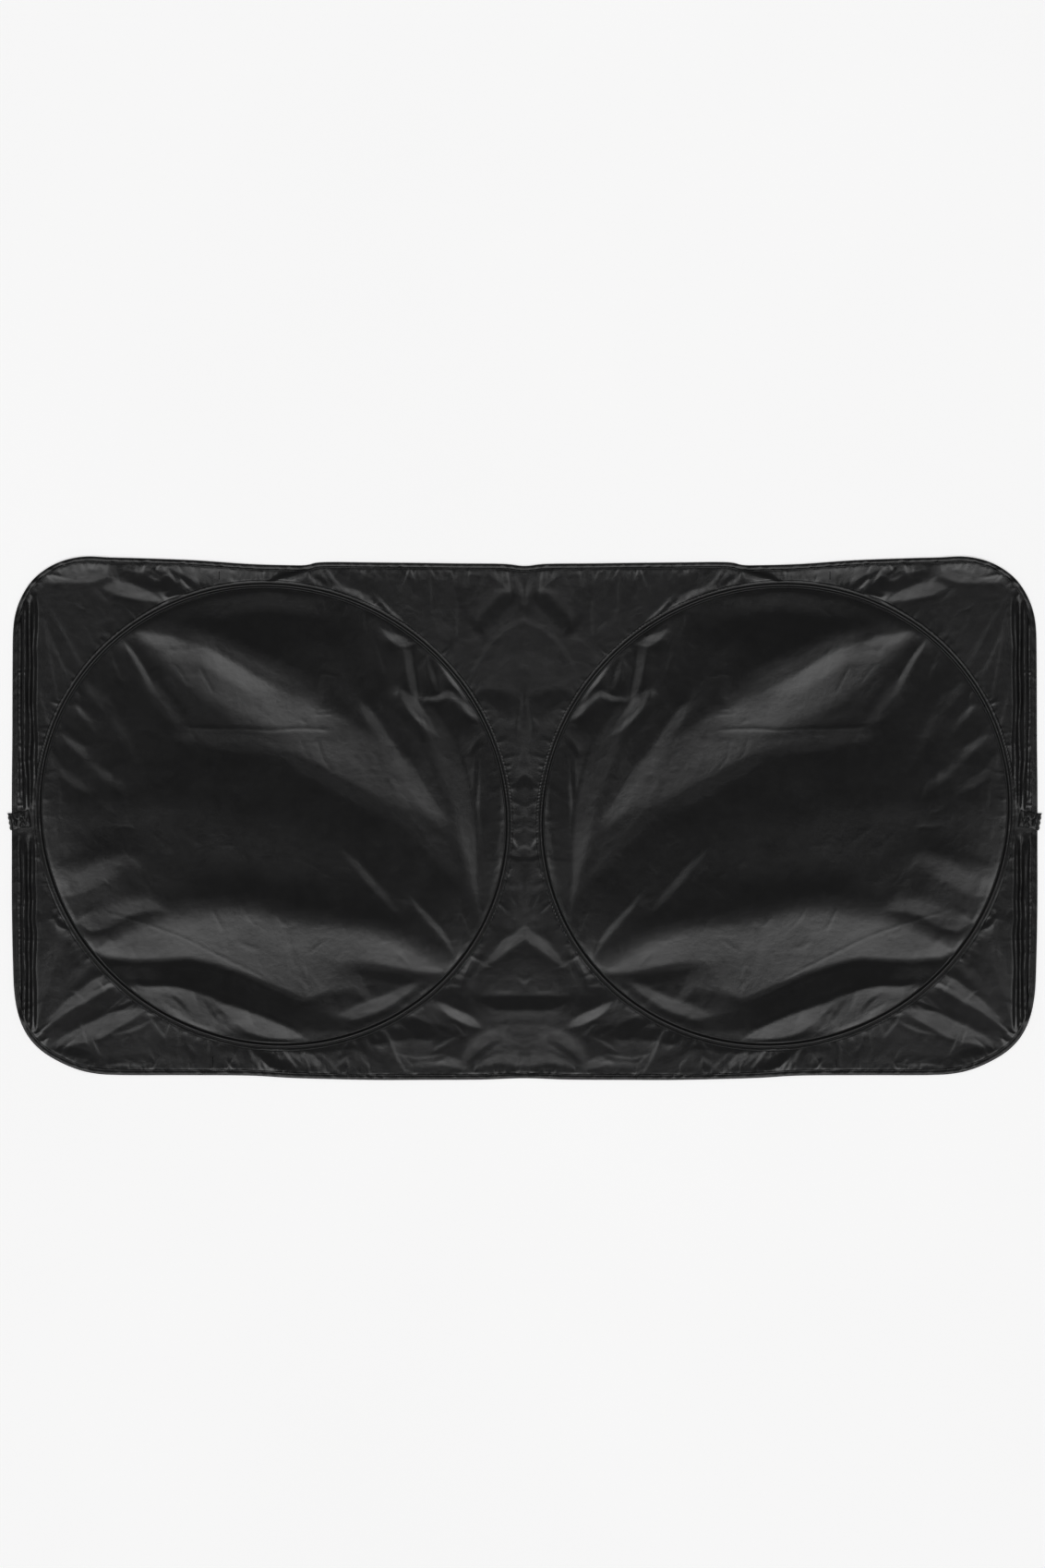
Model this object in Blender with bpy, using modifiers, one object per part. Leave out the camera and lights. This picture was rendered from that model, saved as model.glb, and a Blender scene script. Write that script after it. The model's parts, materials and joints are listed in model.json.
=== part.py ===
"""Folding car sunshade, opened out and lying flat.

Two sprung wire rings side by side, each holding a disc of thin coated cloth
taut, inside a rounded rectangle of the same cloth that is edged with a folded
binding.  Metres, +Z up.  The origin is under the middle of the shade, on the
surface that it lies on.  +X runs along its length.
"""

import math

import bmesh
import bpy

# ----------------------------------------------------------------------------
# Driving dimensions
# ----------------------------------------------------------------------------
MM = 0.001

# Half outline of the shade (left half), from the middle of the top edge round
# the left end to the middle of the bottom edge: x, y in millimetres.
HALF_OUTLINE = [
    (0.0, 344.0), (-30.0, 346.8), (-90.0, 347.4), (-150.0, 348.2),
    (-215.0, 348.8), (-262.0, 349.3), (-284.0, 348.4), (-297.0, 345.4),
    (-315.0, 344.8), (-376.0, 346.6), (-452.0, 351.8), (-527.0, 354.6),
    (-566.0, 355.6), (-597.0, 357.0), (-620.0, 354.0), (-640.0, 347.4),
    (-657.0, 337.6), (-672.0, 324.6), (-684.5, 306.5), (-693.5, 285.0),
    (-698.0, 259.8), (-699.0, 215.0), (-699.4, 108.0), (-700.0, 45.0),
    (-700.0, -27.0), (-700.0, -118.0), (-698.6, -194.0), (-696.4, -240.0),
    (-690.0, -272.0), (-679.0, -296.0), (-663.5, -314.0), (-644.0, -327.6),
    (-618.0, -340.0), (-590.0, -347.6), (-553.0, -350.2), (-465.0, -350.4),
    (-376.0, -351.0), (-313.0, -354.4), (-212.0, -356.9), (-140.0, -356.9),
    (-61.0, -356.5), (0.0, -354.6),
]
OUTLINE_STEPS = 1           # extra points put between two outline points

# The sprung ring of the left half: a slightly tilted ellipse.
RING_CENTRE = (-342.9, 3.8)
RING_SEMI_MAJOR = 324.3
RING_SEMI_MINOR = 310.9
RING_TILT_DEG = -32.4
RING_POINTS = 48

# Ring wire, round spring steel, closed by a crimped sleeve.
WIRE_RADIUS = 0.9
WIRE_HEIGHT = 2.35          # height of the wire's centre line
WIRE_END_GAP = 0.5
FERRULE_BORE = 1.2
FERRULE_RADIUS = 1.55
FERRULE_LENGTH = 14.0
FERRULE_AT_DEG = 215.0      # where the ring is joined, round the ellipse

# Cloth layers, each with its underside and top.
DISC_LAYER = (0.0, 0.5)
END_LAYER = (0.8, 1.2)
CENTRE_LAYER = (1.5, 1.9)
DISC_OVERHANG = 7.0         # disc cloth caught under the casing's flange
PANEL_START = 2.2           # surround cloth starts this far outside the wire
PANEL_INSET = 2.4           # and stops this far inside the outline
SEAM_TOP = (-414.0, 335.0)  # seam between an end panel and the centre panel
SEAM_BOTTOM = (-423.0, -333.0)
SEAM_LAP = 8.0

# Tape casing sewn over the ring wire.
CASING_INNER = 2.0
CASING_OUTER = 2.33
CASING_FLANGE = 7.0
CASING_FLANGE_LAYER = (2.2, 2.5)
CASING_FOOT = 3.8
CASING_FOOT_LAYER = (0.8, 1.1)

# Binding folded round the whole outer edge, and the springy bow inside it at
# each end of the shade.
BINDING_WIDTH = 8.0
BINDING_HEIGHT = 2.6
BINDING_CLOTH = 0.4
BOW_RADIUS = 0.6
BOW_INSET = 1.5
BOW_HEIGHT = 1.3
BOW_END_X = -300.0

# Short elastic keeper strap, folded double and sewn to the rim at each end.
STRAP_WIDTH = 24.0
STRAP_LAYER = 0.7
STRAP_GAP = 0.5
STRAP_BOTTOM = 2.9
STRAP_OUTER_X = -706.4
STRAP_INNER_X = -677.0
STRAP_CENTRE_Y = -5.0
STRAP_TURN_DEG = 9.0


# ----------------------------------------------------------------------------
# Scene set-up and helpers
# ----------------------------------------------------------------------------
for old in list(bpy.data.objects):
    bpy.data.objects.remove(old, do_unlink=True)

parts = bpy.data.collections.new("folding_sunshade")
bpy.context.scene.collection.children.link(parts)
guides = bpy.data.collections.new("profiles")
bpy.context.scene.collection.children.link(guides)


def material(name, colour, roughness, metallic=0.0):
    mat = bpy.data.materials.new(name)
    mat.use_nodes = True
    bsdf = mat.node_tree.nodes["Principled BSDF"]
    bsdf.inputs["Base Color"].default_value = (*colour, 1.0)
    bsdf.inputs["Roughness"].default_value = roughness
    bsdf.inputs["Metallic"].default_value = metallic
    return mat


def cloth(name):
    return material(name, (0.012, 0.012, 0.013), 0.42)


def tape(name):
    return material(name, (0.010, 0.010, 0.011), 0.62)


def steel(name):
    return material(name, (0.45, 0.45, 0.46), 0.32, 1.0)


def catmull_rom(p0, p1, p2, p3, t):
    """Point between p1 and p2 on the smooth curve through all four."""
    out = []
    for a, b, c, d in zip(p0, p1, p2, p3):
        out.append(0.5 * (2 * b + (c - a) * t + (2 * a - 5 * b + 4 * c - d) * t * t
                          + (3 * b - a - 3 * c + d) * t ** 3))
    return tuple(out)


def closed_outline():
    """The whole outline, anticlockwise seen from above, in millimetres."""
    half = list(HALF_OUTLINE)
    other = [(-x, y) for x, y in half[-2:0:-1]]
    loop = half + other
    n = len(loop)
    pts = []
    for i in range(n):
        for k in range(OUTLINE_STEPS + 1):
            t = k / (OUTLINE_STEPS + 1)
            pts.append(catmull_rom(loop[i - 1], loop[i], loop[(i + 1) % n],
                                   loop[(i + 2) % n], t))
    return pts


def offset_loop(points, distance):
    """Move a closed anticlockwise loop sideways: inwards when positive."""
    n = len(points)
    moved = []
    for i, (x, y) in enumerate(points):
        ax, ay = points[i - 1]
        bx, by = points[(i + 1) % n]
        ux, uy = x - ax, y - ay
        vx, vy = bx - x, by - y
        lu, lv = math.hypot(ux, uy), math.hypot(vx, vy)
        tx, ty = ux / lu + vx / lv, uy / lu + vy / lv
        lt = math.hypot(tx, ty)
        moved.append((x - ty / lt * distance, y + tx / lt * distance))
    return moved


def ring_angle(i):
    """Parameter of ring point i.  The wire's joint is between -1 and 0."""
    return math.radians(FERRULE_AT_DEG) + 2 * math.pi * (i + 0.5) / RING_POINTS


def ring_point(angle, outwards=0.0):
    """Point of the ring's ellipse, moved outwards along its normal."""
    a, b = RING_SEMI_MAJOR, RING_SEMI_MINOR
    x, y = a * math.cos(angle), b * math.sin(angle)
    nx, ny = b * math.cos(angle), a * math.sin(angle)
    ln = math.hypot(nx, ny)
    x, y = x + nx / ln * outwards, y + ny / ln * outwards
    c, s = math.cos(math.radians(RING_TILT_DEG)), math.sin(math.radians(RING_TILT_DEG))
    return (RING_CENTRE[0] + c * x - s * y, RING_CENTRE[1] + s * x + c * y)


def ring_loop(outwards=0.0):
    return [ring_point(ring_angle(i), outwards) for i in range(RING_POINTS)]


def mirrored(points):
    """The same loop on the right half, still anticlockwise."""
    return [(-x, y) for x, y in reversed(points)]


def seam_side(point, shift=0.0):
    """Above zero to the right of the panel seam of the left half."""
    (xt, yt), (xb, yb) = SEAM_TOP, SEAM_BOTTOM
    x_here = xb + (xt - xb) * (point[1] - yb) / (yt - yb)
    return point[0] - x_here - shift


def cut_loop(points, side):
    """The one run of a closed loop where side(point) is below zero, with its
    two ends exactly on the line."""
    n = len(points)
    values = [side(p) for p in points]
    start = next(i for i in range(n) if values[i - 1] >= 0 > values[i])
    run = []

    def crossing(i, j):
        f = values[i] / (values[i] - values[j])
        return tuple(a + (b - a) * f for a, b in zip(points[i], points[j]))

    run.append(crossing((start - 1) % n, start))
    i = start
    while values[i] < 0:
        run.append(points[i])
        i = (i + 1) % n
    run.append(crossing((i - 1) % n, i))
    return run


def poly_curve(name, points, cyclic, collection):
    """A polyline curve object; points are x, y, z in millimetres."""
    curve = bpy.data.curves.new(name, "CURVE")
    curve.dimensions = "3D"
    spline = curve.splines.new("POLY")
    spline.points.add(len(points) - 1)
    for p, co in zip(spline.points, points):
        p.co = (co[0] * MM, co[1] * MM, co[2] * MM, 1.0)
    spline.use_cyclic_u = cyclic
    obj = bpy.data.objects.new(name, curve)
    collection.objects.link(obj)
    return obj


def flat_sheet(name, points, layer, mat):
    """A flat piece of cloth: its outline filled and extruded to a layer."""
    obj = poly_curve(name, [(x, y, 0.0) for x, y in points], True, parts)
    obj.data.dimensions = "2D"
    obj.data.fill_mode = "BOTH"
    obj.data.extrude = (layer[1] - layer[0]) / 2 * MM
    obj.location.z = (layer[0] + layer[1]) / 2 * MM
    obj.data.materials.append(mat)
    return obj


def round_wire(name, points, height, radius, mat):
    """An open round wire with flat ends along x, y points."""
    obj = poly_curve(name, [(x, y, height) for x, y in points], False, parts)
    obj.data.bevel_depth = radius * MM
    obj.data.bevel_resolution = 2
    obj.data.use_fill_caps = True
    obj.data.materials.append(mat)
    for spline in obj.data.splines:
        spline.use_smooth = True
    return obj


def profile_guide(name, points):
    """A closed section, drawn in its own plane, that a tape is swept from."""
    obj = poly_curve(name, [(x, y, 0.0) for x, y in points], True, guides)
    obj.data.dimensions = "2D"
    obj.data.fill_mode = "NONE"
    obj.hide_render = True
    obj.display_type = "WIRE"
    return obj


def swept_tape(name, points, profile, mat):
    """A folded tape: a closed section carried round a closed flat path."""
    obj = poly_curve(name, [(x, y, 0.0) for x, y in points], True, parts)
    obj.data.twist_mode = "Z_UP"
    obj.data.fill_mode = "FULL"
    obj.data.bevel_mode = "OBJECT"
    obj.data.bevel_object = profile
    obj.data.materials.append(mat)
    return obj


# ----------------------------------------------------------------------------
# Cloth panels
# ----------------------------------------------------------------------------
outline = closed_outline()
rim = offset_loop(outline, PANEL_INSET)
disc_edge = ring_loop(DISC_OVERHANG)
ring_edge = ring_loop(PANEL_START)

flat_sheet("disc_panel_left", disc_edge, DISC_LAYER, cloth("disc_cloth_left"))
flat_sheet("disc_panel_right", mirrored(disc_edge), DISC_LAYER, cloth("disc_cloth_right"))

# An end panel is a C: the rim round the end, and back along the ring.
half_lap = SEAM_LAP / 2
end_rim = cut_loop(rim, lambda p: seam_side(p, half_lap))
end_ring = cut_loop(ring_edge, lambda p: seam_side(p, half_lap))
end_panel = end_rim + end_ring[::-1]
flat_sheet("end_panel_left", end_panel, END_LAYER, cloth("end_cloth_left"))
flat_sheet("end_panel_right", mirrored(end_panel), END_LAYER, cloth("end_cloth_right"))

# The centre panel is an hourglass between the two rings, lapping both ends.
bottom_run = cut_loop(rim, lambda p: max(-seam_side(p, -half_lap),
                                         -seam_side((-p[0], p[1]), -half_lap), p[1]))
top_run = cut_loop(rim, lambda p: max(-seam_side(p, -half_lap),
                                      -seam_side((-p[0], p[1]), -half_lap), -p[1]))
left_run = cut_loop(ring_edge, lambda p: -seam_side(p, -half_lap))
right_run = mirrored(left_run)
centre_panel = bottom_run + right_run[::-1] + top_run + left_run[::-1]
flat_sheet("centre_panel", centre_panel, CENTRE_LAYER, cloth("centre_cloth"))

# ----------------------------------------------------------------------------
# Sprung rings
# ----------------------------------------------------------------------------
inner, outer, mid = CASING_INNER, CASING_OUTER, WIRE_HEIGHT
flange_low, flange_top = CASING_FLANGE_LAYER
foot_low, foot_top = CASING_FOOT_LAYER


def arch(radius, angles):
    return [(radius * math.cos(math.radians(a)), mid + radius * math.sin(math.radians(a)))
            for a in angles]


casing_section = (
    [(CASING_FLANGE, flange_low), (CASING_FLANGE, flange_top), (outer, flange_top)]
    + arch(outer, (45, 90, 135, 180))
    + [(-outer, foot_top), (-CASING_FOOT, foot_top), (-CASING_FOOT, foot_low),
       (-inner, foot_low)]
    + arch(inner, (180, 135, 90, 45, 0))
    + [(inner, flange_low)]
)
casing_profile = profile_guide("ring_casing_profile", casing_section[::-1])


def make_ring(side, flip):
    loop = ring_loop()
    (ax, ay), (bx, by) = loop[-1], loop[0]
    jx, jy = (ax + bx) / 2, (ay + by) / 2
    length = math.hypot(bx - ax, by - ay)
    ux, uy = (bx - ax) / length, (by - ay) / length
    half = WIRE_END_GAP / 2
    wire = [(jx + ux * half, jy + uy * half)] + loop + [(jx - ux * half, jy - uy * half)]
    heading = math.atan2(uy, ux)
    if flip:
        wire = mirrored(wire)
        jx, heading = -jx, math.pi - heading
        loop = mirrored(loop)
    round_wire("ring_wire_" + side, wire, WIRE_HEIGHT, WIRE_RADIUS,
               steel("ring_steel_" + side))
    swept_tape("ring_casing_" + side, loop, casing_profile, tape("casing_tape_" + side))

    # Crimped sleeve over the wire's two ends.
    mesh = bpy.data.meshes.new("ring_ferrule_" + side)
    bm = bmesh.new()
    h = FERRULE_LENGTH / 2 * MM
    corners = [(FERRULE_RADIUS * MM, h), (FERRULE_RADIUS * MM, -h),
               (FERRULE_BORE * MM, -h), (FERRULE_BORE * MM, h)]
    verts = [bm.verts.new((x, 0.0, z)) for x, z in corners]
    for i in range(4):
        bm.edges.new((verts[i], verts[(i + 1) % 4]))
    bm.to_mesh(mesh)
    bm.free()
    ferrule = bpy.data.objects.new("ring_ferrule_" + side, mesh)
    parts.objects.link(ferrule)
    turn = ferrule.modifiers.new("turned", "SCREW")
    turn.angle = 2 * math.pi
    turn.steps = 12
    turn.render_steps = 12
    turn.axis = "Z"
    turn.use_merge_vertices = True
    turn.merge_threshold = 0.00001
    turn.use_smooth_shade = True
    ferrule.rotation_euler = (math.pi / 2, 0.0, heading + math.pi / 2)
    ferrule.location = (jx * MM, jy * MM, WIRE_HEIGHT * MM)
    mesh.materials.append(steel("ferrule_steel_" + side))


make_ring("left", False)
make_ring("right", True)

# ----------------------------------------------------------------------------
# Rim: folded binding all round, and a springy bow inside it at each end
# ----------------------------------------------------------------------------
w, h, c = BINDING_WIDTH, BINDING_HEIGHT, BINDING_CLOTH
binding_section = [
    (-w, 0.0), (-w, c), (-0.5, c), (-0.5, h - c), (-w, h - c),
    (-w, h), (-0.6, h), (0.0, h - 0.6), (0.0, 0.6), (-0.6, 0.0),
]
binding_profile = profile_guide("rim_binding_profile", binding_section)
swept_tape("rim_binding", outline, binding_profile, tape("binding_tape"))

bow_path = cut_loop(offset_loop(outline, BOW_INSET), lambda p: p[0] - BOW_END_X)
round_wire("rim_wire_left", bow_path, BOW_HEIGHT, BOW_RADIUS, steel("bow_steel_left"))
round_wire("rim_wire_right", mirrored(bow_path), BOW_HEIGHT, BOW_RADIUS,
           steel("bow_steel_right"))

# ----------------------------------------------------------------------------
# Keeper straps: a band folded back on itself, its fold just past the rim
# ----------------------------------------------------------------------------


def strap_section():
    """Side view of the folded band, x along it from the fold, y up."""
    t, gap = STRAP_LAYER, STRAP_GAP
    length = STRAP_INNER_X - STRAP_OUTER_X
    r_out, r_in = (2 * t + gap) / 2, gap / 2
    pts = [(length, t + gap), (length, 2 * t + gap)]
    for a in (90, 120, 150, 180, 210, 240, 270):
        pts.append((r_out + r_out * math.cos(math.radians(a)),
                    r_out + r_out * math.sin(math.radians(a))))
    pts += [(length, 0.0), (length, t)]
    for a in (270, 210, 150, 90):
        pts.append((r_out + r_in * math.cos(math.radians(a)),
                    r_out + r_in * math.sin(math.radians(a))))
    return pts


def make_strap(side, flip):
    obj = poly_curve("strap_" + side, [(x, y, 0.0) for x, y in strap_section()], True, parts)
    obj.data.dimensions = "2D"
    obj.data.fill_mode = "BOTH"
    obj.data.extrude = STRAP_WIDTH / 2 * MM
    obj.data.materials.append(tape("strap_elastic_" + side))
    turn = math.radians(STRAP_TURN_DEG)
    obj.rotation_euler = (math.pi / 2, 0.0, turn if not flip else math.pi - turn)
    x = STRAP_OUTER_X + STRAP_WIDTH / 2 * math.sin(turn)
    obj.location = ((-x if flip else x) * MM, STRAP_CENTRE_Y * MM, STRAP_BOTTOM * MM)


make_strap("left", False)
make_strap("right", True)
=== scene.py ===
"""Looks of a folding car sunshade that lies open on a pale floor.

Black coated taffeta in two sprung rings, a creased surround, stitched casings
and a folded binding.  The folds are laid out as strokes on the flat
cut, each saying how far and which way the cloth tilts there, and one solve
finds the sheet that follows them.
"""

import json
import math

import bpy
import numpy as np
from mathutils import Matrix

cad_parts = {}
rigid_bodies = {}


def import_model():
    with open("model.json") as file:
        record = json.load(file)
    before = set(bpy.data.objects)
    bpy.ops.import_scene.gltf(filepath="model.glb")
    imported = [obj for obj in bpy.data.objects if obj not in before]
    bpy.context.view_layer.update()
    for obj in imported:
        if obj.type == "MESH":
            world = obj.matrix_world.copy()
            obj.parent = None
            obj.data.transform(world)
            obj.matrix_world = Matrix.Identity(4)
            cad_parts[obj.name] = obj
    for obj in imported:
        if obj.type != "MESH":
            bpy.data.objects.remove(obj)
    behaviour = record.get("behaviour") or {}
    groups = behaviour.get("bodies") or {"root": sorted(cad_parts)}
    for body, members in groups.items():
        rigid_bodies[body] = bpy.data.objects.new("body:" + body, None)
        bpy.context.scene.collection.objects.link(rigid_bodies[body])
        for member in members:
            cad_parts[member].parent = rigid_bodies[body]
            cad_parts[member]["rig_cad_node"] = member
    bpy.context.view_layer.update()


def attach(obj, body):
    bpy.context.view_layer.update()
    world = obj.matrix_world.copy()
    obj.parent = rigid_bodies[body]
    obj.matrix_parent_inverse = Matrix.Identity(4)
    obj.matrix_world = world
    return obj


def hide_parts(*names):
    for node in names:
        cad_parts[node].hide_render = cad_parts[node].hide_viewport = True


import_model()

MM = 0.001
U = 1.26126                 # millimetres in one drawing unit
CX, CY = 568.3, 886.0       # drawing units at the model's origin
RNG = np.random.default_rng(11)

# ---------------------------------------------------------------------------
# The construction's own sizes, in millimetres, as in the CAD source
# ---------------------------------------------------------------------------
HALF_OUTLINE = [
    (0.0, 344.0), (-30.0, 346.8), (-90.0, 347.4), (-150.0, 348.2),
    (-215.0, 348.8), (-262.0, 349.3), (-284.0, 348.4), (-297.0, 345.4),
    (-315.0, 344.8), (-376.0, 346.6), (-452.0, 351.8), (-527.0, 354.6),
    (-566.0, 355.6), (-597.0, 357.0), (-620.0, 354.0), (-640.0, 347.4),
    (-657.0, 337.6), (-672.0, 324.6), (-684.5, 306.5), (-693.5, 285.0),
    (-698.0, 259.8), (-699.0, 215.0), (-699.4, 108.0), (-700.0, 45.0),
    (-700.0, -27.0), (-700.0, -118.0), (-698.6, -194.0), (-696.4, -240.0),
    (-690.0, -272.0), (-679.0, -296.0), (-663.5, -314.0), (-644.0, -327.6),
    (-618.0, -340.0), (-590.0, -347.6), (-553.0, -350.2), (-465.0, -350.4),
    (-376.0, -351.0), (-313.0, -354.4), (-212.0, -356.9), (-140.0, -356.9),
    (-61.0, -356.5), (0.0, -354.6),
]
RING_C = (-342.9, 3.8)
RING_A, RING_B, RING_TILT = 324.3, 310.9, math.radians(-32.4)
SEAM_TOP, SEAM_BOTTOM = (-414.0, 335.0), (-423.0, -333.0)
WIRE_Z = 2.35


def outline_loop(steps):
    """Closed smooth outline, anticlockwise, millimetres."""
    half = HALF_OUTLINE
    loop = half + [(-x, y) for x, y in half[-2:0:-1]]
    p = np.array(loop)
    n = len(p)
    out = []
    for i in range(n):
        a, b, c, d = p[i - 1], p[i], p[(i + 1) % n], p[(i + 2) % n]
        for k in range(steps):
            t = k / steps
            out.append(0.5 * (2 * b + (c - a) * t + (2 * a - 5 * b + 4 * c - d) * t * t
                              + (3 * b - a - 3 * c + d) * t ** 3))
    return np.array(out)


def resample(points, spacing, closed=True):
    """Even spacing along a polyline."""
    p = np.vstack([points, points[:1]]) if closed else np.asarray(points)
    seg = np.hypot(*np.diff(p, axis=0)[:, :2].T)
    s = np.concatenate([[0], np.cumsum(seg)])
    n = max(int(round(s[-1] / spacing)), 3)
    t = np.linspace(0, s[-1], n, endpoint=not closed)
    return np.stack([np.interp(t, s, p[:, k]) for k in range(p.shape[1])], 1)


def normals_in(loop):
    """Unit normals of an anticlockwise loop, pointing inwards."""
    t = np.roll(loop, -1, 0) - np.roll(loop, 1, 0)
    t /= np.hypot(t[:, 0], t[:, 1])[:, None]
    return np.stack([-t[:, 1], t[:, 0]], 1)


def ring_loop(n, out=0.0):
    """Left ring, anticlockwise, moved outwards along its normal."""
    a = np.arange(n) * 2 * math.pi / n
    x, y = RING_A * np.cos(a), RING_B * np.sin(a)
    nx, ny = RING_B * np.cos(a), RING_A * np.sin(a)
    ln = np.hypot(nx, ny)
    x, y = x + nx / ln * out, y + ny / ln * out
    c, s = math.cos(RING_TILT), math.sin(RING_TILT)
    return np.stack([RING_C[0] + c * x - s * y, RING_C[1] + s * x + c * y], 1)


def ring_off(x, y):
    """How far outside the left ring a point is, millimetres (near enough)."""
    c, s = math.cos(RING_TILT), math.sin(RING_TILT)
    dx, dy = x - RING_C[0], y - RING_C[1]
    u, v = dx * c + dy * s, -dx * s + dy * c
    q = np.hypot(u / RING_A, v / RING_B)
    g = np.hypot(u / RING_A ** 2, v / RING_B ** 2) / np.maximum(q, 1e-6)
    return (q - 1) / np.maximum(g, 1e-6)


OUT = outline_loop(12)
OUT_TREE_P = resample(OUT, 2.0)
OUT_TREE_N = normals_in(OUT_TREE_P)


def rim_off(x, y):
    """How far inside the outline a point is, millimetres."""
    x, y = np.asarray(x, float), np.asarray(y, float)
    flat = np.stack([x.ravel(), y.ravel()], 1)
    res = np.empty(len(flat))
    for s in range(0, len(flat), 4000):
        q = flat[s:s + 4000]
        d = ((q[:, None, 0] - OUT_TREE_P[None, :, 0]) ** 2
             + (q[:, None, 1] - OUT_TREE_P[None, :, 1]) ** 2)
        k = d.argmin(1)
        v = q - OUT_TREE_P[k]
        res[s:s + 4000] = (v * OUT_TREE_N[k]).sum(1)
    return res.reshape(x.shape)


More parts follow.
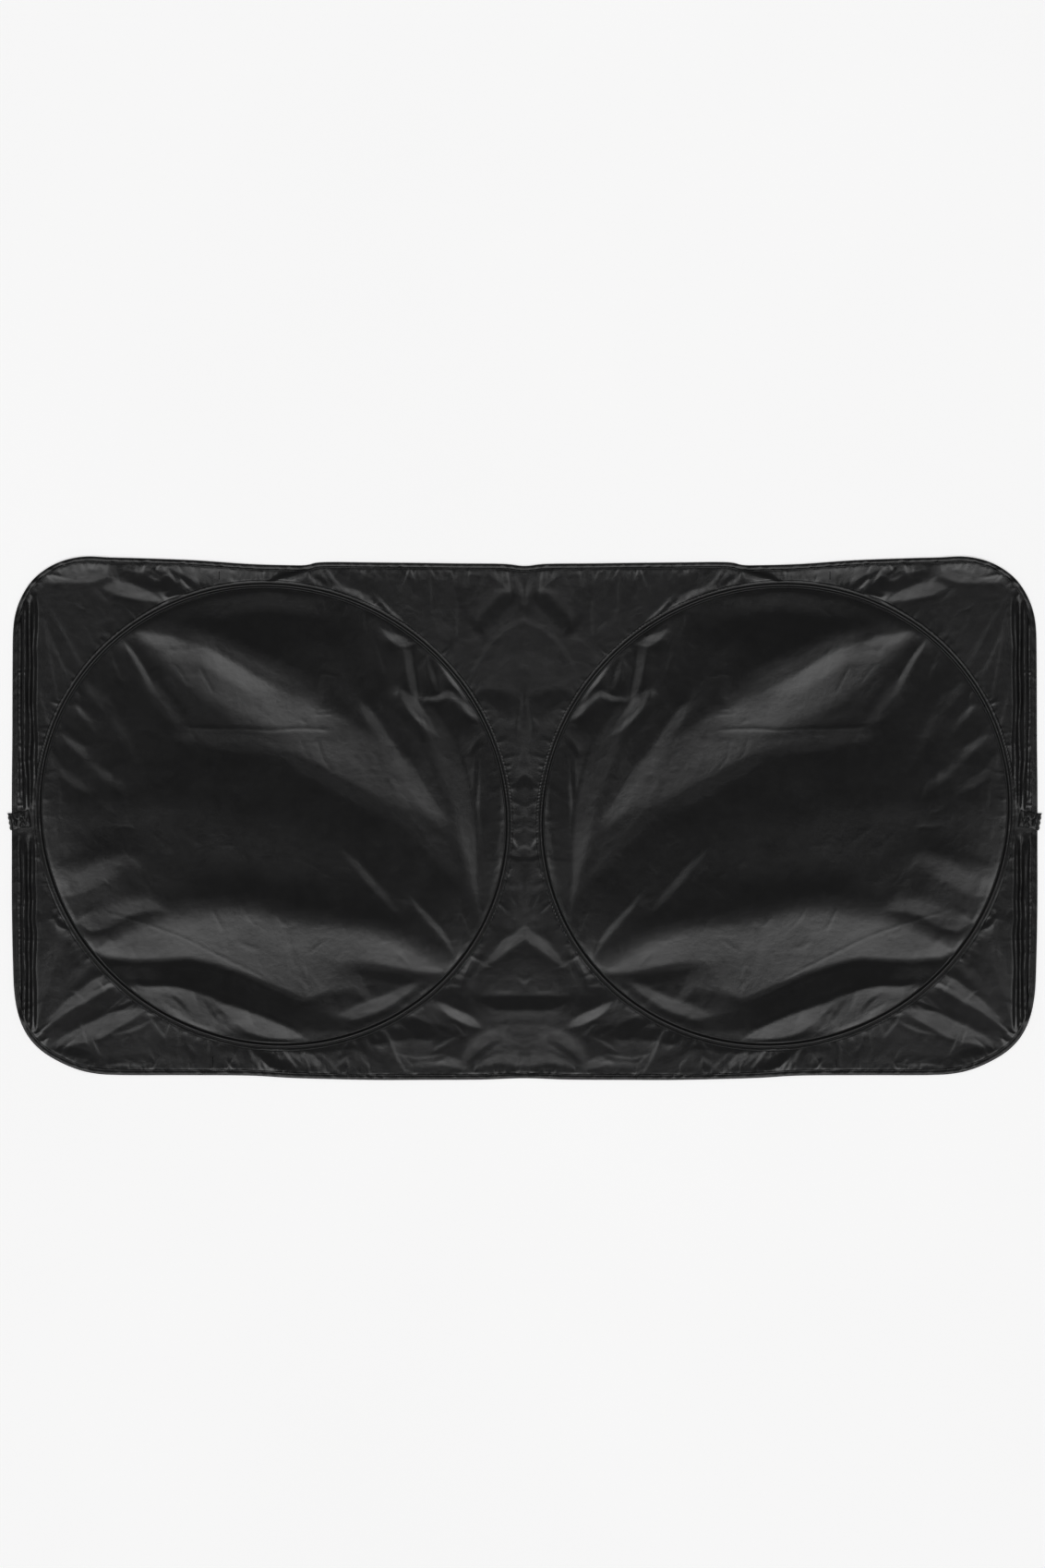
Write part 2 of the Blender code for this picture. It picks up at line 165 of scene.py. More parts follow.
# ---------------------------------------------------------------------------
# Fold layout of the left half; the right half is its mirror image.
# Each stroke: (side its lit flank faces, softness of its left and right edge,
#               [(x, y, half width left, half width right, how lit), ...])
# in drawing units, x to the right and y down from the sheet's top left.
# ---------------------------------------------------------------------------
DISC = [
 # low tone variation
 ('R', 30, 30, [(62,905,20,25,34.5),(150,900,30,30,34.5),(250,915,35,30,34.5),(335,925,25,25,34.5)]),
 ('R', 8, 14, [(172,672,5,8,36),(220,657,6,14,39),(290,646,5,12,38),(345,654,4,10,37)]),
 ('R', 12, 16, [(352,705,8,10,35),(380,755,10,14,36),(402,790,8,12,37)]),
 ('R', 12, 12, [(445,885,4,6,37),(470,912,8,10,39),(492,940,5,8,37)]),
 ('R', 10, 10, [(205,795,4,10,37),(260,800,6,12,38),(310,806,6,10,38)]),
 # upper bright band
 ('R', 22, 10, [(154,682,7,6,52),(180,684,13,10,54),(210,691,14,12,55),(240,701,11,14,55),(285,722,8,16,52),(330,744,7,18,46)]),
 ('R', 16, 46, [(146,688,4,8,92),(165,701,9,17,90),(200,719,15,28,82),(240,741,20,33,78),(280,761,22,34,78),(320,778,24,30,75),(360,797,26,28,66)]),
 ('R', 6, 10, [(150,686,3,3,94),(164,692,7,6,99),(182,698,11,9,97),(200,706,11,9,94),(220,712,12,8,95),(240,722,12,9,96),(268,739,11,9,94),(296,753,9,8,87),(320,764,7,6,72)]),
 ('R', 3, 6, [(186,702,1,2,70),(205,699,1,3,78),(226,696,1,2,62)]),
 ('R', 14, 34, [(345,800,26,28,57),(380,820,32,32,56),(412,838,34,32,57),(438,853,28,26,57),(460,868,16,18,58),(476,882,8,12,56),(486,894,2,4,48)]),
 ('R', 6, 8, [(398,768,4,8,56),(412,788,5,10,62),(426,812,5,10,62),(443,842,5,8,60),(460,867,5,7,60),(474,886,3,4,56),(478,893,1,2,48)]),
 ('R', 5, 5, [(418,766,3,3,28),(438,796,6,6,26),(460,824,11,11,24),(472,850,10,9,24),(484,876,6,5,25)]),
 # short streaks near the upper left of the ring
 ('R', 8, 8, [(160,737,5,8,46),(175,757,8,8,44),(190,777,5,6,38)]),
 ('R', 2, 3, [(133,694,1.5,1.5,60),(138,701,2.6,2.6,88),(144,709,3.6,3.6,98),(151,720,4,4,94),(157,731,4,4,86),(164,745,3.6,3.6,64),(172,757,3,3,46)]),
 ('R', 3, 3, [(118,702,1,1,38),(124,718,2,2,48),(131,735,2,2,38)]),
 ('R', 4, 6, [(95,744,4,4,38),(104,752,5,6,43),(110,765,3,3,36)]),
 ('R', 3, 4, [(79,763,1,2,44),(87,769,3,4,58),(97,780,3,4,48),(103,790,2,2,38)]),
 ('R', 4, 5, [(64,794,1,1,42),(74,802,4,4,55),(88,813,6,5,52),(95,822,3,3,40)]),
 ('R', 5, 5, [(98,826,3,3,40),(112,838,5,5,45),(130,850,4,4,40),(136,860,2,2,34)]),
 ('R', 4, 4, [(60,822,1,1,40),(70,838,4,6,43),(85,848,5,6,47),(93,855,2,3,42)]),
 ('R', 8, 8, [(112,752,3,3,34),(128,785,5,5,39),(148,822,4,4,34)]),
 # two bands at the lower left
 ('R', 22, 16, [(62,968,18,22,40),(90,962,24,26,42),(120,952,24,28,42),(150,948,18,28,39),(172,952,10,20,36)]),
 ('R', 14, 6, [(62,958,3,7,60),(75,960,8,11,72),(90,954,10,12,70),(105,946,11,12,68),(120,939,11,11,66),(133,933,9,9,60),(145,929,2,4,42)]),
 ('R', 4, 4, [(140,925,1,3,44),(147,934,3,4,47),(155,946,2,2,38)]),
 ('R', 12, 6, [(82,994,5,6,64),(98,995,9,9,74),(112,992,10,10,74),(125,988,11,10,76),(140,983,11,9,74),(158,979,10,9,66),(170,981,7,7,50),(179,986,1,1,34)]),
 ('R', 4, 4, [(86,998,3,3,56),(100,1004,5,5,64),(115,1002,4,4,56),(130,996,3,2,44)]),
 # lower bright band
 ('R', 34, 9, [(102,1026,4,6,90),(118,1025,16,14,97),(145,1022,25,20,97),(175,1018,30,23,90),(205,1014,30,24,78),(240,1014,34,32,76),(275,1020,38,36,73),(310,1030,40,42,69),(338,1040,42,44,62),(362,1044,38,30,56)]),
 ('R', 26, 7, [(350,1022,20,16,60),(380,1024,22,17,66),(405,1027,21,16,70),(430,1033,17,16,73),(455,1042,13,12,74),(475,1047,8,8,73),(490,1046,4,4,60)]),
 ('R', 5, 5, [(384,1052,6,14,50),(393,1068,5,10,52),(400,1080,4,6,54)]),
 ('R', 5, 5, [(393,1052,2,3,26),(410,1055,5,7,25),(435,1061,6,7,25),(458,1067,4,4,27)]),
 ('R', 6, 5, [(350,1104,2,2,40),(367,1103,5,5,46),(386,1097,9,7,62),(404,1090,9,8,74),(416,1085,8,8,78),(430,1078,7,6,66),(445,1070,5,4,62),(457,1064,1,1,40)]),
 # dark trough below it
 ('R', 5, 6, [(115,1047,3,4,31),(150,1053,6,8,33),(185,1052,7,10,29),(220,1058,8,10,26),(250,1066,8,11,25),(300,1087,8,12,25),(340,1104,9,12,27),(372,1110,8,8,28)]),
 # bright patches against the ring at the bottom
 ('R', 4, 5, [(148,1067,1,2,66),(160,1071,3,4,76),(180,1072,5,7,88),(197,1075,6,10,84),(215,1082,7,12,70),(230,1086,6,10,66)]),
 ('R', 4, 4, [(152,1074,3,3,68),(170,1081,7,8,78),(190,1090,11,10,76),(212,1098,13,11,74),(232,1106,11,9,74),(250,1112,6,6,72)]),
 ('R', 1.8, 1.8, [(186,1078,1,1.4,40),(196,1086,1.6,1.8,30),(204,1096,1,1.2,34)]),
 ('R', 2, 2, [(172,1087,1,2,76),(186,1094,2,3,90),(200,1101,2,3,86)]),
 ('R', 1.6, 1.6, [(222,1083,1,1,36),(229,1094,1.4,1.6,30),(237,1106,1,1,36)]),
 ('R', 3, 4, [(205,1103,2,3,66),(218,1108,4,6,86),(230,1112,5,6,70),(240,1116,3,4,60)]),
 ('R', 4, 3, [(236,1086,2,3,78),(255,1095,5,12,82),(275,1104,7,16,78),(295,1112,7,14,80),(315,1119,5,8,82),(330,1124,1,2,70)]),
 ('R', 2, 2, [(242,1103,1,1,40),(250,1113,1.5,1.5,34),(257,1122,1,1,40)]),
 # right-hand side of the disc
 ('R', 7, 16, [(462,772,10,8,40),(474,806,20,11,43),(484,836,20,10,47),(494,866,18,9,49),(502,896,15,9,50),(508,926,10,8,51),(512,952,6,6,52),(517,978,2.5,3,50),(521,996,1,1,44)]),
 ('R', 3, 4, [(441,695,5,6,46),(443,715,5,6,52),(446,735,5,5,55),(449,752,5,5,56)]),
 ('R', 3, 4, [(438,752,5,6,68),(447,763,8,9,76),(456,775,7,8,76),(465,787,4,5,78),(474,796,1,2,60)]),
 ('R', 2, 3, [(416,683,2,3,66),(425,688,3,7,82),(435,692,4,8,78),(447,694,3,5,70)]),
 ('R', 2, 3, [(456,702,2,2,60),(463,708,3,3,78),(472,712,3,3,70)]),
 ('R', 2, 3, [(459,757,2,3,58),(473,756,3,4,66),(487,750,3,4,66)]),
 ('R', 3, 3, [(464,716,3,3,46),(468,730,4,4,55),(472,745,3,3,50)]),
 ('R', 2, 2, [(471,713,2.2,2,80),(481,724,3.6,3,98),(489,736,4,3,98),(497,746,4,3,98),(504,757,3,2.4,84)]),
 ('R', 3, 3, [(488,752,4,3,74),(497,760,5,4,88),(506,769,5,4,86),(515,778,2.4,2.4,62)]),
 ('R', 3, 3, [(530,793,2,2,48),(520,805,3,3,42),(512,815,2,2,36)]),
 ('R', 2, 3, [(396,655,1,1,40),(395,672,1,1.5,60),(394,680,1,1,44)]),
 ('R', 4, 4, [(405,690,2,2,36),(412,715,3,3,41),(418,735,2,2,35)]),
 ('R', 3, 4, [(372,922,2,2,36),(385,935,4,4,45),(400,952,4,5,50),(415,968,4,5,46),(427,984,3,3,38)]),
 ('R', 2, 4, [(442,968,1,1,44),(452,982,3,3,58),(465,996,4,4,60),(478,1010,4,4,60),(487,1023,3,4,58),(493,1036,1,2,44)]),
 ('R', 2, 2, [(497,982,1,1,36),(502,995,1.5,1.5,52),(511,1016,1,1,46)]),
 ('R', 2, 2, [(517,820,1,1,42),(516,845,1,1.5,47),(514,870,1,1,42)]),
 ('R', 2, 2, [(534,880,1,1,40),(531,920,1,1.5,46),(526,975,1,1,42)]),
 ('R', 2, 2, [(527,830,1,1,38),(527,860,1,1.5,42),(526,880,1,1,38)]),
 ('R', 3, 3, [(531,806,7,9,32),(532,850,10,11,32),(531,900,9,10,32),(527,950,5,7,32),(523,985,2,3,32)]),
 # close to the ring, left
 ('R', 2, 2, [(58,880,1,1,38),(62,905,1.5,1.5,50),(68,928,1,1,44)]),
 ('R', 2, 2, [(64,848,1,1,38),(66,870,1.5,1.5,46),(64,890,1,1,38)]),
 ('R', 2, 2, [(350,642,1,1,36),(352,660,1.5,1.5,43),(350,672,1,1,36)]),
 ('R', 2, 2, [(366,650,1,1,36),(364,665,1.5,1.5,43),(361,680,1,1,36)]),
 ('R', 2, 2, [(303,637,1,1,44),(316,640,1,1.5,58),(328,639,1,1,48)]),
 ('R', 2, 2, [(410,670,1,1,46),(420,678,1.5,1.5,60),(430,686,1,1,50)]),
]
SURROUND = [
 # soft tone of the whole surround
 ('R', 14, 14, [(48,652,8,8,36),(80,655,12,14,37),(120,662,10,14,37),(150,664,4,6,39)]),
 ('R', 12, 12, [(380,622,8,12,36),(420,632,14,16,37),(455,645,14,18,38)]),
 ('R', 10, 10, [(470,622,8,8,42),(500,624,12,12,43),(524,624,10,12,41)]),
 ('R', 10, 10, [(538,616,6,8,42),(552,620,8,10,43),(570,630,6,20,46)]),
 ('R', 12, 12, [(536,716,6,12,39),(555,716,12,16,42),(572,712,12,16,42)]),
 ('R', 10, 10, [(556,940,6,6,43),(562,975,12,14,44),(566,1000,12,14,44)]),
 ('R', 10, 10, [(528,985,4,4,40),(548,990,12,12,43),(572,1000,10,14,43)]),
 ('R', 10, 10, [(545,1060,8,10,38),(560,1047,8,9,40),(572,1050,8,9,40)]),
 ('R', 8, 8, [(500,1072,4,6,36),(518,1066,8,8,38),(532,1058,6,6,38)]),
 ('R', 10, 10, [(110,1136,8,8,39),(135,1132,12,12,40),(164,1128,10,14,40),(176,1112,8,10,46)]),
 ('R', 8, 8, [(186,1130,8,14,33),(205,1134,12,14,33),(228,1142,10,10,34)]),
 # hem above the top left corner
 ('R', 3, 2, [(42,631,3,2,54),(58,622,8,8,62),(78,619,11,13,68),(100,618,10,13,70),(114,617,8,9,66),(120,616,4,3,54)]),
 ('R', 2, 2, [(52,630,2,2,58),(62,629,1.5,3,74),(70,630,1,2,60)]),
 ('R', 2, 2, [(78,628,2,3,70),(95,626,3,5,72),(108,622,3,4,70)]),
 # wedge and hollow beside it
 ('R', 3, 3, [(122,618,3,4,52),(126,626,5,6,62)]),
 ('R', 3, 3, [(114,637,3,2,64),(124,636,8,8,72),(140,640,9,8,76),(158,645,7,6,78),(170,649,4,3,80),(177,651,1,1,66)]),
 ('R', 2, 2, [(182,644,3,3,27),(192,642,4,3,26),(202,640,3,2,27)]),
 ('R', 3, 4, [(134,620,3,5,33),(150,626,5,8,33),(168,633,6,8,31),(184,632,9,9,25),(194,638,6,6,25)]),
 ('R', 2, 3, [(124,611,2,3,34),(138,612,2,3,40),(152,613,2,4,50)]),
 ('R', 1.5, 1.5, [(138,617,1,1,58),(146,618,1.2,1.2,70),(156,620,1,1,60)]),
 ('R', 2, 3, [(155,613,3,6,60),(175,613,3,7,64),(196,614,3,8,64),(215,618,4,12,64),(236,620,6,16,66)]),
 ('R', 1.5, 1.5, [(164,613,1,1,30),(170,619,1.6,1.6,22),(174,624,1,1,26)]),
 ('R', 1.5, 2, [(162,623,1,2,64),(168,627,1.5,2,74),(173,628,1,1,60)]),
 ('R', 1.5, 1.5, [(184,616,1,1,30),(189,621,1.6,1.6,24),(193,626,1,1,28)]),
 ('R', 1.5, 2, [(181,617,1,1.5,66),(186,624,1.8,2.2,84),(191,631,1.2,1.2,72)]),
 ('R', 1.5, 1.5, [(196,632,1,1,50),(199,637,1.2,1.2,60),(202,641,1,1,50)]),
 ('R', 2, 2, [(199,625,2,2,27),(206,632,4,3,24),(210,637,2,1,27)]),
 ('R', 1.5, 1.5, [(209,621,1,1,58),(214,629,1.8,1.8,76),(218,637,1,1,60)]),
 ('R', 2, 2, [(225,622,1,1,52),(230,626,2,2,46),(234,630,1,1,52)]),
 ('R', 2, 2, [(243,622,7,9,70),(256,622,8,9,71),(262,622,7,8,66),(268,622,6,9,66),(284,621,6,9,64),(298,619,3,5,58),(306,617,2,2,48)]),
 ('R', 1.5, 1.5, [(208,644,1,1.4,54),(222,638,1.2,1.6,62),(238,633,1.2,1.6,60)]),
 # deep pleat and what gathers round it
 ('R', 2, 2.5, [(293,630,2,2,22),(303,624,3,3,17),(318,620,3,3,17),(332,616,2,2,18),(337,613,1,1,24)]),
 ('R', 1.5, 1.5, [(300,631,1,1,58),(314,627,1.4,1.4,66),(328,621,1,1,60)]),
 ('R', 1.5, 1.5, [(310,633,1,1,46),(322,630,1.4,1.4,60),(332,629,1,1,50)]),
 ('R', 1.5, 2, [(337,615,1.5,1.5,56),(336,622,2,1.5,72),(340,629,2,2,80),(350,634,2,2,72)]),
 ('R', 1.5, 1.5, [(341,619,1,1,30),(346,626,1.6,1.6,22),(351,632,1,1,26)]),
 ('R', 1.5, 2, [(345,613,1,1,56),(349,620,1.6,2,70),(354,627,1.2,1.6,66)]),
 ('R', 1.5, 2, [(352,612,1,1,56),(357,620,2,2.5,72),(363,629,2,2.5,74),(371,636,2,2,70)]),
 ('R', 1.5, 1.5, [(355,624,1,1,32),(360,631,1.4,1.4,30),(367,637,1,1,34)]),
 ('R', 2, 2, [(362,614,2,2,30),(372,620,3,3,29),(382,626,2,2,31)]),
 # band that hugs the ring at the upper right
 ('R', 2.5, 2, [(364,636,2,2,64),(376,640,4,3,78),(388,643,4,4,78),(398,648,4,4,76),(408,655,3,3,70),(414,661,1.5,1.5,60)]),
 ('R', 1.5, 1.5, [(403,648,1,1,30),(412,655,1.5,1.5,24),(420,664,1,1,26)]),
 ('R', 1.6, 1.8, [(407,644,1,1,56),(413,651,2,1.6,80),(420,659,2.2,1.8,90),(432,669,1.8,1.8,88),(440,676,1,1,64)]),
 ('R', 2, 2, [(384,616,1,1.5,44),(393,619,2,2,54),(402,624,1.5,1.5,50)]),
 ('R', 2, 2, [(404,615,2,2,50),(409,621,3,3,58),(412,627,1.5,1.5,46)]),
 ('R', 1.5, 2, [(441,656,1,1,44),(447,660,1.5,1.8,58),(454,665,1,1,46)]),
 ('R', 2, 2, [(436,618,1,1,28),(445,629,1.5,1.5,26),(451,645,1,1,28)]),
 ('R', 2, 2, [(428,624,1,1,38),(433,640,1.6,1.6,41),(434,660,1,1,38)]),
 # centre panel, upper part
 ('R', 4, 4, [(466,614,2,3,42),(467,636,2.5,3,46),(468,662,2,3,43),(480,692,1.5,2,40)]),
 ('R', 4, 5, [(478,640,2,2,30),(483,665,3,3,28),(486,690,2,2,29)]),
 ('R', 3, 3, [(492,640,1.5,1.5,40),(496,662,2.5,2.5,46),(494,688,2.5,2,46),(487,706,1.5,1.5,44)]),
 ('L', 3, 3, [(528,616,2,2,44),(523,628,2.5,2.5,49),(513,648,2.5,2.5,46),(507,656,1,1,38)]),
 ('R', 8, 8, [(505,662,3,3,30),(520,680,8,8,28),(532,668,8,8,28),(550,648,8,8,27)]),
 ('R', 4, 4, [(556,612,2,3,46),(562,628,4,5,50),(569,652,4,5,52)]),
 ('R', 4, 4, [(505,740,1.5,1.5,42),(516,720,3,3,48),(530,696,4,4,51),(546,680,4,4,51),(573,668,4,4,48)]),
 ('R', 8, 8, [(508,757,3,3,31),(530,752,7,9,30),(556,764,12,16,30)]),
 ('R', 3, 3, [(572,738,2,2,44),(566,758,3,3,52),(562,785,3,3,50),(561,800,1,1,42)]),
 ('L', 3, 3, [(572,795,2,2,40),(566,815,3,3,46),(560,835,2,2,42)]),
 ('R', 5, 5, [(552,830,3,3,30),(560,850,6,6,28),(570,845,6,6,27)]),
 # between the rings
 ('L', 2, 2, [(574,862,2,2,56),(568,878,2.5,2.5,54),(564,892,1.5,1.5,46)]),
 ('R', 2, 2, [(553,862,1,1,44),(557,876,1.8,1.8,50),(558,898,1,1,42)]),
 ('R', 1.5, 1.8, [(552,904,1,1.5,70),(557,910,2,2.5,92),(562,920,1.2,1.5,80)]),
 ('R', 1.8, 2, [(559,922,1,1,52),(566,917,2,2.5,66),(574,916,2,2.5,66)]),
 ('R', 3, 3, [(548,926,1,1,26),(560,930,2,3,26),(572,930,2,3,30)]),
 ('L', 2, 3, [(556,938,1.5,1.5,46),(548,950,2,2,52),(543,962,1,1,44)]),
 # centre panel, lower part
 ('R', 4, 4, [(521,1049,1.5,1.5,46),(531,1040,4,4,60),(548,1025,8,6,66),(572,1009,8,6,62)]),
 ('R', 1.5, 2, [(521,1043,1,1,56),(526,1046,1.5,1.5,66),(532,1047,1,1,54)]),
 ('R', 2, 3, [(552,1040,1,1,34),(556,1052,2,2,28),(559,1066,1,1,30)]),
 ('R', 2, 2.5, [(562,1060,1.5,1.5,54),(568,1064,2.5,2.5,62),(574,1062,2,2,60)]),
 ('R', 4, 4, [(503,1070,3,3,28),(509,1056,4,4,24),(518,1036,3,3,26)]),
 ('R', 2, 2, [(482,1068,1,1,48),(490,1067,1.5,1.5,56),(498,1068,1,1,46)]),
 ('R', 6, 6, [(520,1082,4,4,28),(540,1086,8,8,26),(572,1086,8,8,26)]),
 ('R', 7, 7, [(497,1160,2,6,50),(503,1145,4,8,56),(512,1130,5,10,57),(528,1121,7,16,54),(548,1117,8,26,52),(574,1114,8,28,49)]),
 ('R', 4, 4, [(520,1124,2,2,56),(531,1119,3,3,62),(544,1117,3,3,54)]),
 ('R', 2.5, 3, [(500,1158,1.5,1.5,40),(512,1148,2.5,2.5,31),(524,1138,3,3,31),(534,1131,3.5,3.5,30),(541,1128,1,1,36)]),
 ('R', 3, 3, [(510,1158,1,2,56),(524,1150,3,5,60),(540,1144,4,8,60),(556,1146,4,8,58),(574,1148,4,8,58)]),
 ('R', 3, 2.5, [(475,1086,1.5,2,66),(482,1090,3,6,78),(492,1096,4,7,88),(504,1102,5,7,84),(514,1107,4,6,74),(520,1111,2,3,56)]),
 ('R', 1.5, 1.8, [(493,1109,1,1,60),(498,1115,1.5,1.5,66),(503,1121,1,1,54)]),
 ('R', 1.5, 1.5, [(464,1090,1,1,46),(469,1098,1.4,1.4,54),(475,1108,1,1,46)]),
 ('R', 5, 5, [(428,1102,2,4,28),(445,1110,9,12,27),(462,1116,8,11,27)]),
 ('R', 4, 4, [(474,1112,3,3,28),(486,1116,4,4,29),(496,1126,3,4,30)]),
 ('R', 2, 2, [(467,1139,1,1,50),(474,1134,1.8,2,62),(483,1129,1.8,2,62),(493,1124,1,1,54)]),
 # bottom strip
 ('R', 6, 6, [(240,1134,4,5,30),(290,1140,5,6,28),(340,1136,6,6,28),(390,1128,8,8,27),(430,1120,8,8,27),(455,1116,6,6,30)]),
 ('R', 3, 3, [(440,1152,2,3,48),(458,1152,3,4,52),(474,1152,3,4,56)]),
 ('R', 2, 2, [(429,1140,1,1.5,60),(440,1144,2,2.5,68),(452,1146,1.5,2,62),(468,1144,1.5,2,66),(480,1142,1,1.5,58)]),
 ('R', 2.5, 2.5, [(474,1150,3,4,60),(486,1148,5,7,64),(498,1152,4,6,60)]),
 ('R', 1.6, 1.8, [(415,1109,1,1,64),(420,1120,2.2,2.2,74),(426,1134,2.2,2.2,72),(432,1148,2,2,64),(439,1160,1.5,1.5,56)]),
 ('R', 2, 2, [(441,1146,1,1,54),(447,1154,1.8,1.8,60),(452,1161,1,1,54)]),
 ('R', 4, 4, [(384,1125,4,6,31),(400,1136,8,8,30),(412,1146,5,5,31)]),
 ('R', 1.8, 2, [(390,1143,1,1,50),(396,1150,2,2.2,60),(406,1160,1.6,1.6,56)]),
 ('R', 2, 2, [(385,1126,1,1,36),(386,1142,1.6,1.6,43),(386,1158,1,1,40)]),
 ('R', 2, 2, [(397,1122,1,1,32),(403,1134,1.4,1.4,38),(408,1146,1,1,34)]),
 ('L', 2, 2, [(379,1124,1,1,48),(373,1132,1.6,1.6,54),(369,1142,1,1,46)]),
 ('R', 2, 2, [(266,1130,1.5,1.5,62),(271,1138,2.4,2.4,68),(276,1147,2.6,2.8,70),(283,1156,2.4,2.4,68),(290,1160,1,1,54)]),
 ('R', 3, 3, [(284,1142,3,3,24),(296,1150,7,7,23),(306,1156,3,3,25)]),
 ('R', 1.4, 1.6, [(280,1133,1,1,58),(292,1135,1.5,1.6,70),(306,1136,1.6,1.8,74)]),
 ('R', 1.6, 1.8, [(305,1135,1.5,1.5,66),(311,1142,2.2,2.4,82),(320,1154,2,2,74)]),
 ('R', 2, 2, [(316,1141,2,2,58),(325,1146,4,4,66),(334,1152,4,4,66)]),
 ('R', 1.2, 1.2, [(325,1143,0.8,0.8,40),(329,1149,1.2,1.2,26),(333,1156,0.8,0.8,34)]),
 ('R', 2, 2, [(328,1141,2,2,60),(337,1145,4,4,72),(345,1153,4,4,72),(350,1160,2,2,58)]),
 ('R', 2, 2, [(346,1141,1.5,1.5,50),(353,1145,2.5,2.5,58),(360,1153,2.5,2.5,58),(366,1160,1.5,1.5,54)]),
 ('R', 2, 2, [(362,1156,1,1,54),(369,1150,3,3,60),(376,1146,2,2,60),(378,1157,1,1,54)]),
 ('R', 2, 2, [(238,1144,1,1,42),(248,1143,2,2,46),(256,1148,2,2,47),(262,1154,1,1,42)]),
 ('R', 1.5, 1.5, [(223,1121,1,1,62),(231,1125,1.6,1.6,84),(242,1130,1,1,72)]),
 ('R', 3, 3, [(193,1108,1.5,1.5,36),(194,1124,2.5,2.5,42),(191,1142,2,2,40)]),
 ('R', 3, 3, [(208,1122,1.5,1.5,34),(206,1136,2,2,38),(203,1148,1.5,1.5,35)]),
 ('R', 1.5, 1.5, [(116,1154,1,1.5,58),(132,1153,2,2,66),(150,1154,2,2,68),(163,1152,1.5,2,64)]),
 ('R', 1.2, 1.2, [(164,1157,1,1,46),(200,1158,1.2,1.2,52),(226,1158,1.2,1.2,58),(240,1158,1,1,44)]),
 ('R', 1.5, 1.5, [(160,1136,1,1,46),(165,1143,1.6,1.6,54),(170,1150,1,1,46)]),
 ('R', 1.5, 1.5, [(155,1148,1,1,56),(160,1154,1.6,1.6,68),(164,1159,1,1,54)]),
 # lower left corner fan
 ('R', 4, 3, [(38,1116,1.5,1,50),(41,1095,2,4,49),(45,1070,3,8,48),(50,1045,5,12,47),(54,1020,6,10,45),(52,1000,4,6,40)]),
 ('R', 2, 2, [(38,1112,1,1,44),(40,1080,1.4,1.4,50),(42,1040,1.4,1.4,46),(43,1000,1.2,1.2,42)]),
 ('R', 3, 3, [(47,1110,1.5,1.5,32),(56,1088,2.5,2.5,31),(66,1064,3,3,31),(76,1042,3,3,30),(84,1028,2,2,31)]),
 ('R', 5, 5, [(70,1072,3,4,44),(82,1056,6,7,48),(94,1044,5,6,48)]),
 ('R', 3, 2.5, [(43,1118,1,1,58),(56,1104,4,4,68),(74,1089,6.5,6,73),(90,1079,8,7.5,75),(104,1070,10,8,78),(116,1064,9,7,84),(128,1063,4,4,84),(134,1066,1.5,1.5,66)]),
 ('R', 1.5, 1.5, [(78,1073,1,1,62),(85,1078,1.6,1.6,78),(92,1084,1,1,66)]),
 ('R', 1.5, 1.5, [(106,1062,1,1,74),(110,1067,1.5,1.5,92),(113,1072,1,1,76)]),
 ('R', 1.5, 1.5, [(122,1062,1,1,74),(128,1066,1.5,1.5,88),(133,1069,1,1,70)]),
 ('R', 3, 3, [(46,1120,1,1.5,33),(64,1108,3,4,34),(84,1097,5,5,35),(104,1087,7,7,34),(120,1080,8,7,31),(134,1076,3,3,34)]),
 ('R', 1.5, 1.5, [(118,1094,1,1,48),(126,1087,1.5,1.5,58),(135,1079,1,1,54)]),
 ('R', 2, 2, [(118,1098,1,1,28),(128,1093,2,2,24),(142,1086,2,2,24)]),
 ('R', 3, 3, [(55,1133,1.5,3,64),(70,1125,4,8,70),(88,1118,6,12,72),(106,1112,8,13,73),(124,1104,9,11,72),(140,1098,6,8,70),(152,1094,3,4,62)]),
 ('R', 1.5, 1.5, [(88,1112,1,1,60),(92,1122,1.5,1.5,74),(95,1130,1,1,64)]),
 ('R', 1.5, 1.5, [(99,1122,1,1,60),(103,1132,1.5,1.5,72),(108,1142,1,1,54)]),
 ('R', 2, 2, [(126,1115,1,1,34),(140,1110,2.5,2.5,30),(153,1102,2,2,32)]),
 ('R', 1.8, 1.8, [(124,1120,1,1,52),(140,1117,2,2,62),(152,1112,2.5,2.5,62),(162,1106,1.5,1.5,56)]),
 ('R', 1.3, 1.5, [(159,1098,1,1,76),(168,1099,1.6,1.8,90),(178,1101,1,1,78)]),
 ('R', 2, 2, [(163,1102,1.5,1.5,58),(168,1110,2,2,60),(176,1120,2,2,58),(180,1124,1,1,48)]),
 ('R', 4, 4, [(62,1138,2,3,29),(80,1137,4,7,28),(96,1142,4,6,28),(106,1152,2,2,30)]),
 # outside the ring, lower left
 ('R', 2, 2, [(58,990,1.5,1.5,24),(66,1000,3,3,21),(74,1006,2,2,23)]),
 ('R', 1.2, 1.5, [(52,956,1,1,56),(60,972,1.3,1.6,82),(68,986,1.5,1.8,86),(78,1002,1.5,1.8,86),(86,1018,1.2,1.4,66)]),
 ('R', 3, 3, [(72,1008,2,2,40),(80,1018,4,4,47),(86,1026,2,2,44)]),
 ('R', 1.5, 1.5, [(98,1036,1,1,46),(103,1044,1.6,1.6,56),(106,1050,1,1,46)]),
 ('R', 1.6, 1.6, [(49,975,1,1,24),(50,1000,1.4,1.4,23),(52,1030,1,1,26)]),
 ('R', 1.6, 1.6, [(55,975,1,1,34),(56,1000,1.4,1.4,40),(58,1028,1,1,38)]),
 # left end: shallow folds fanning down from the corner
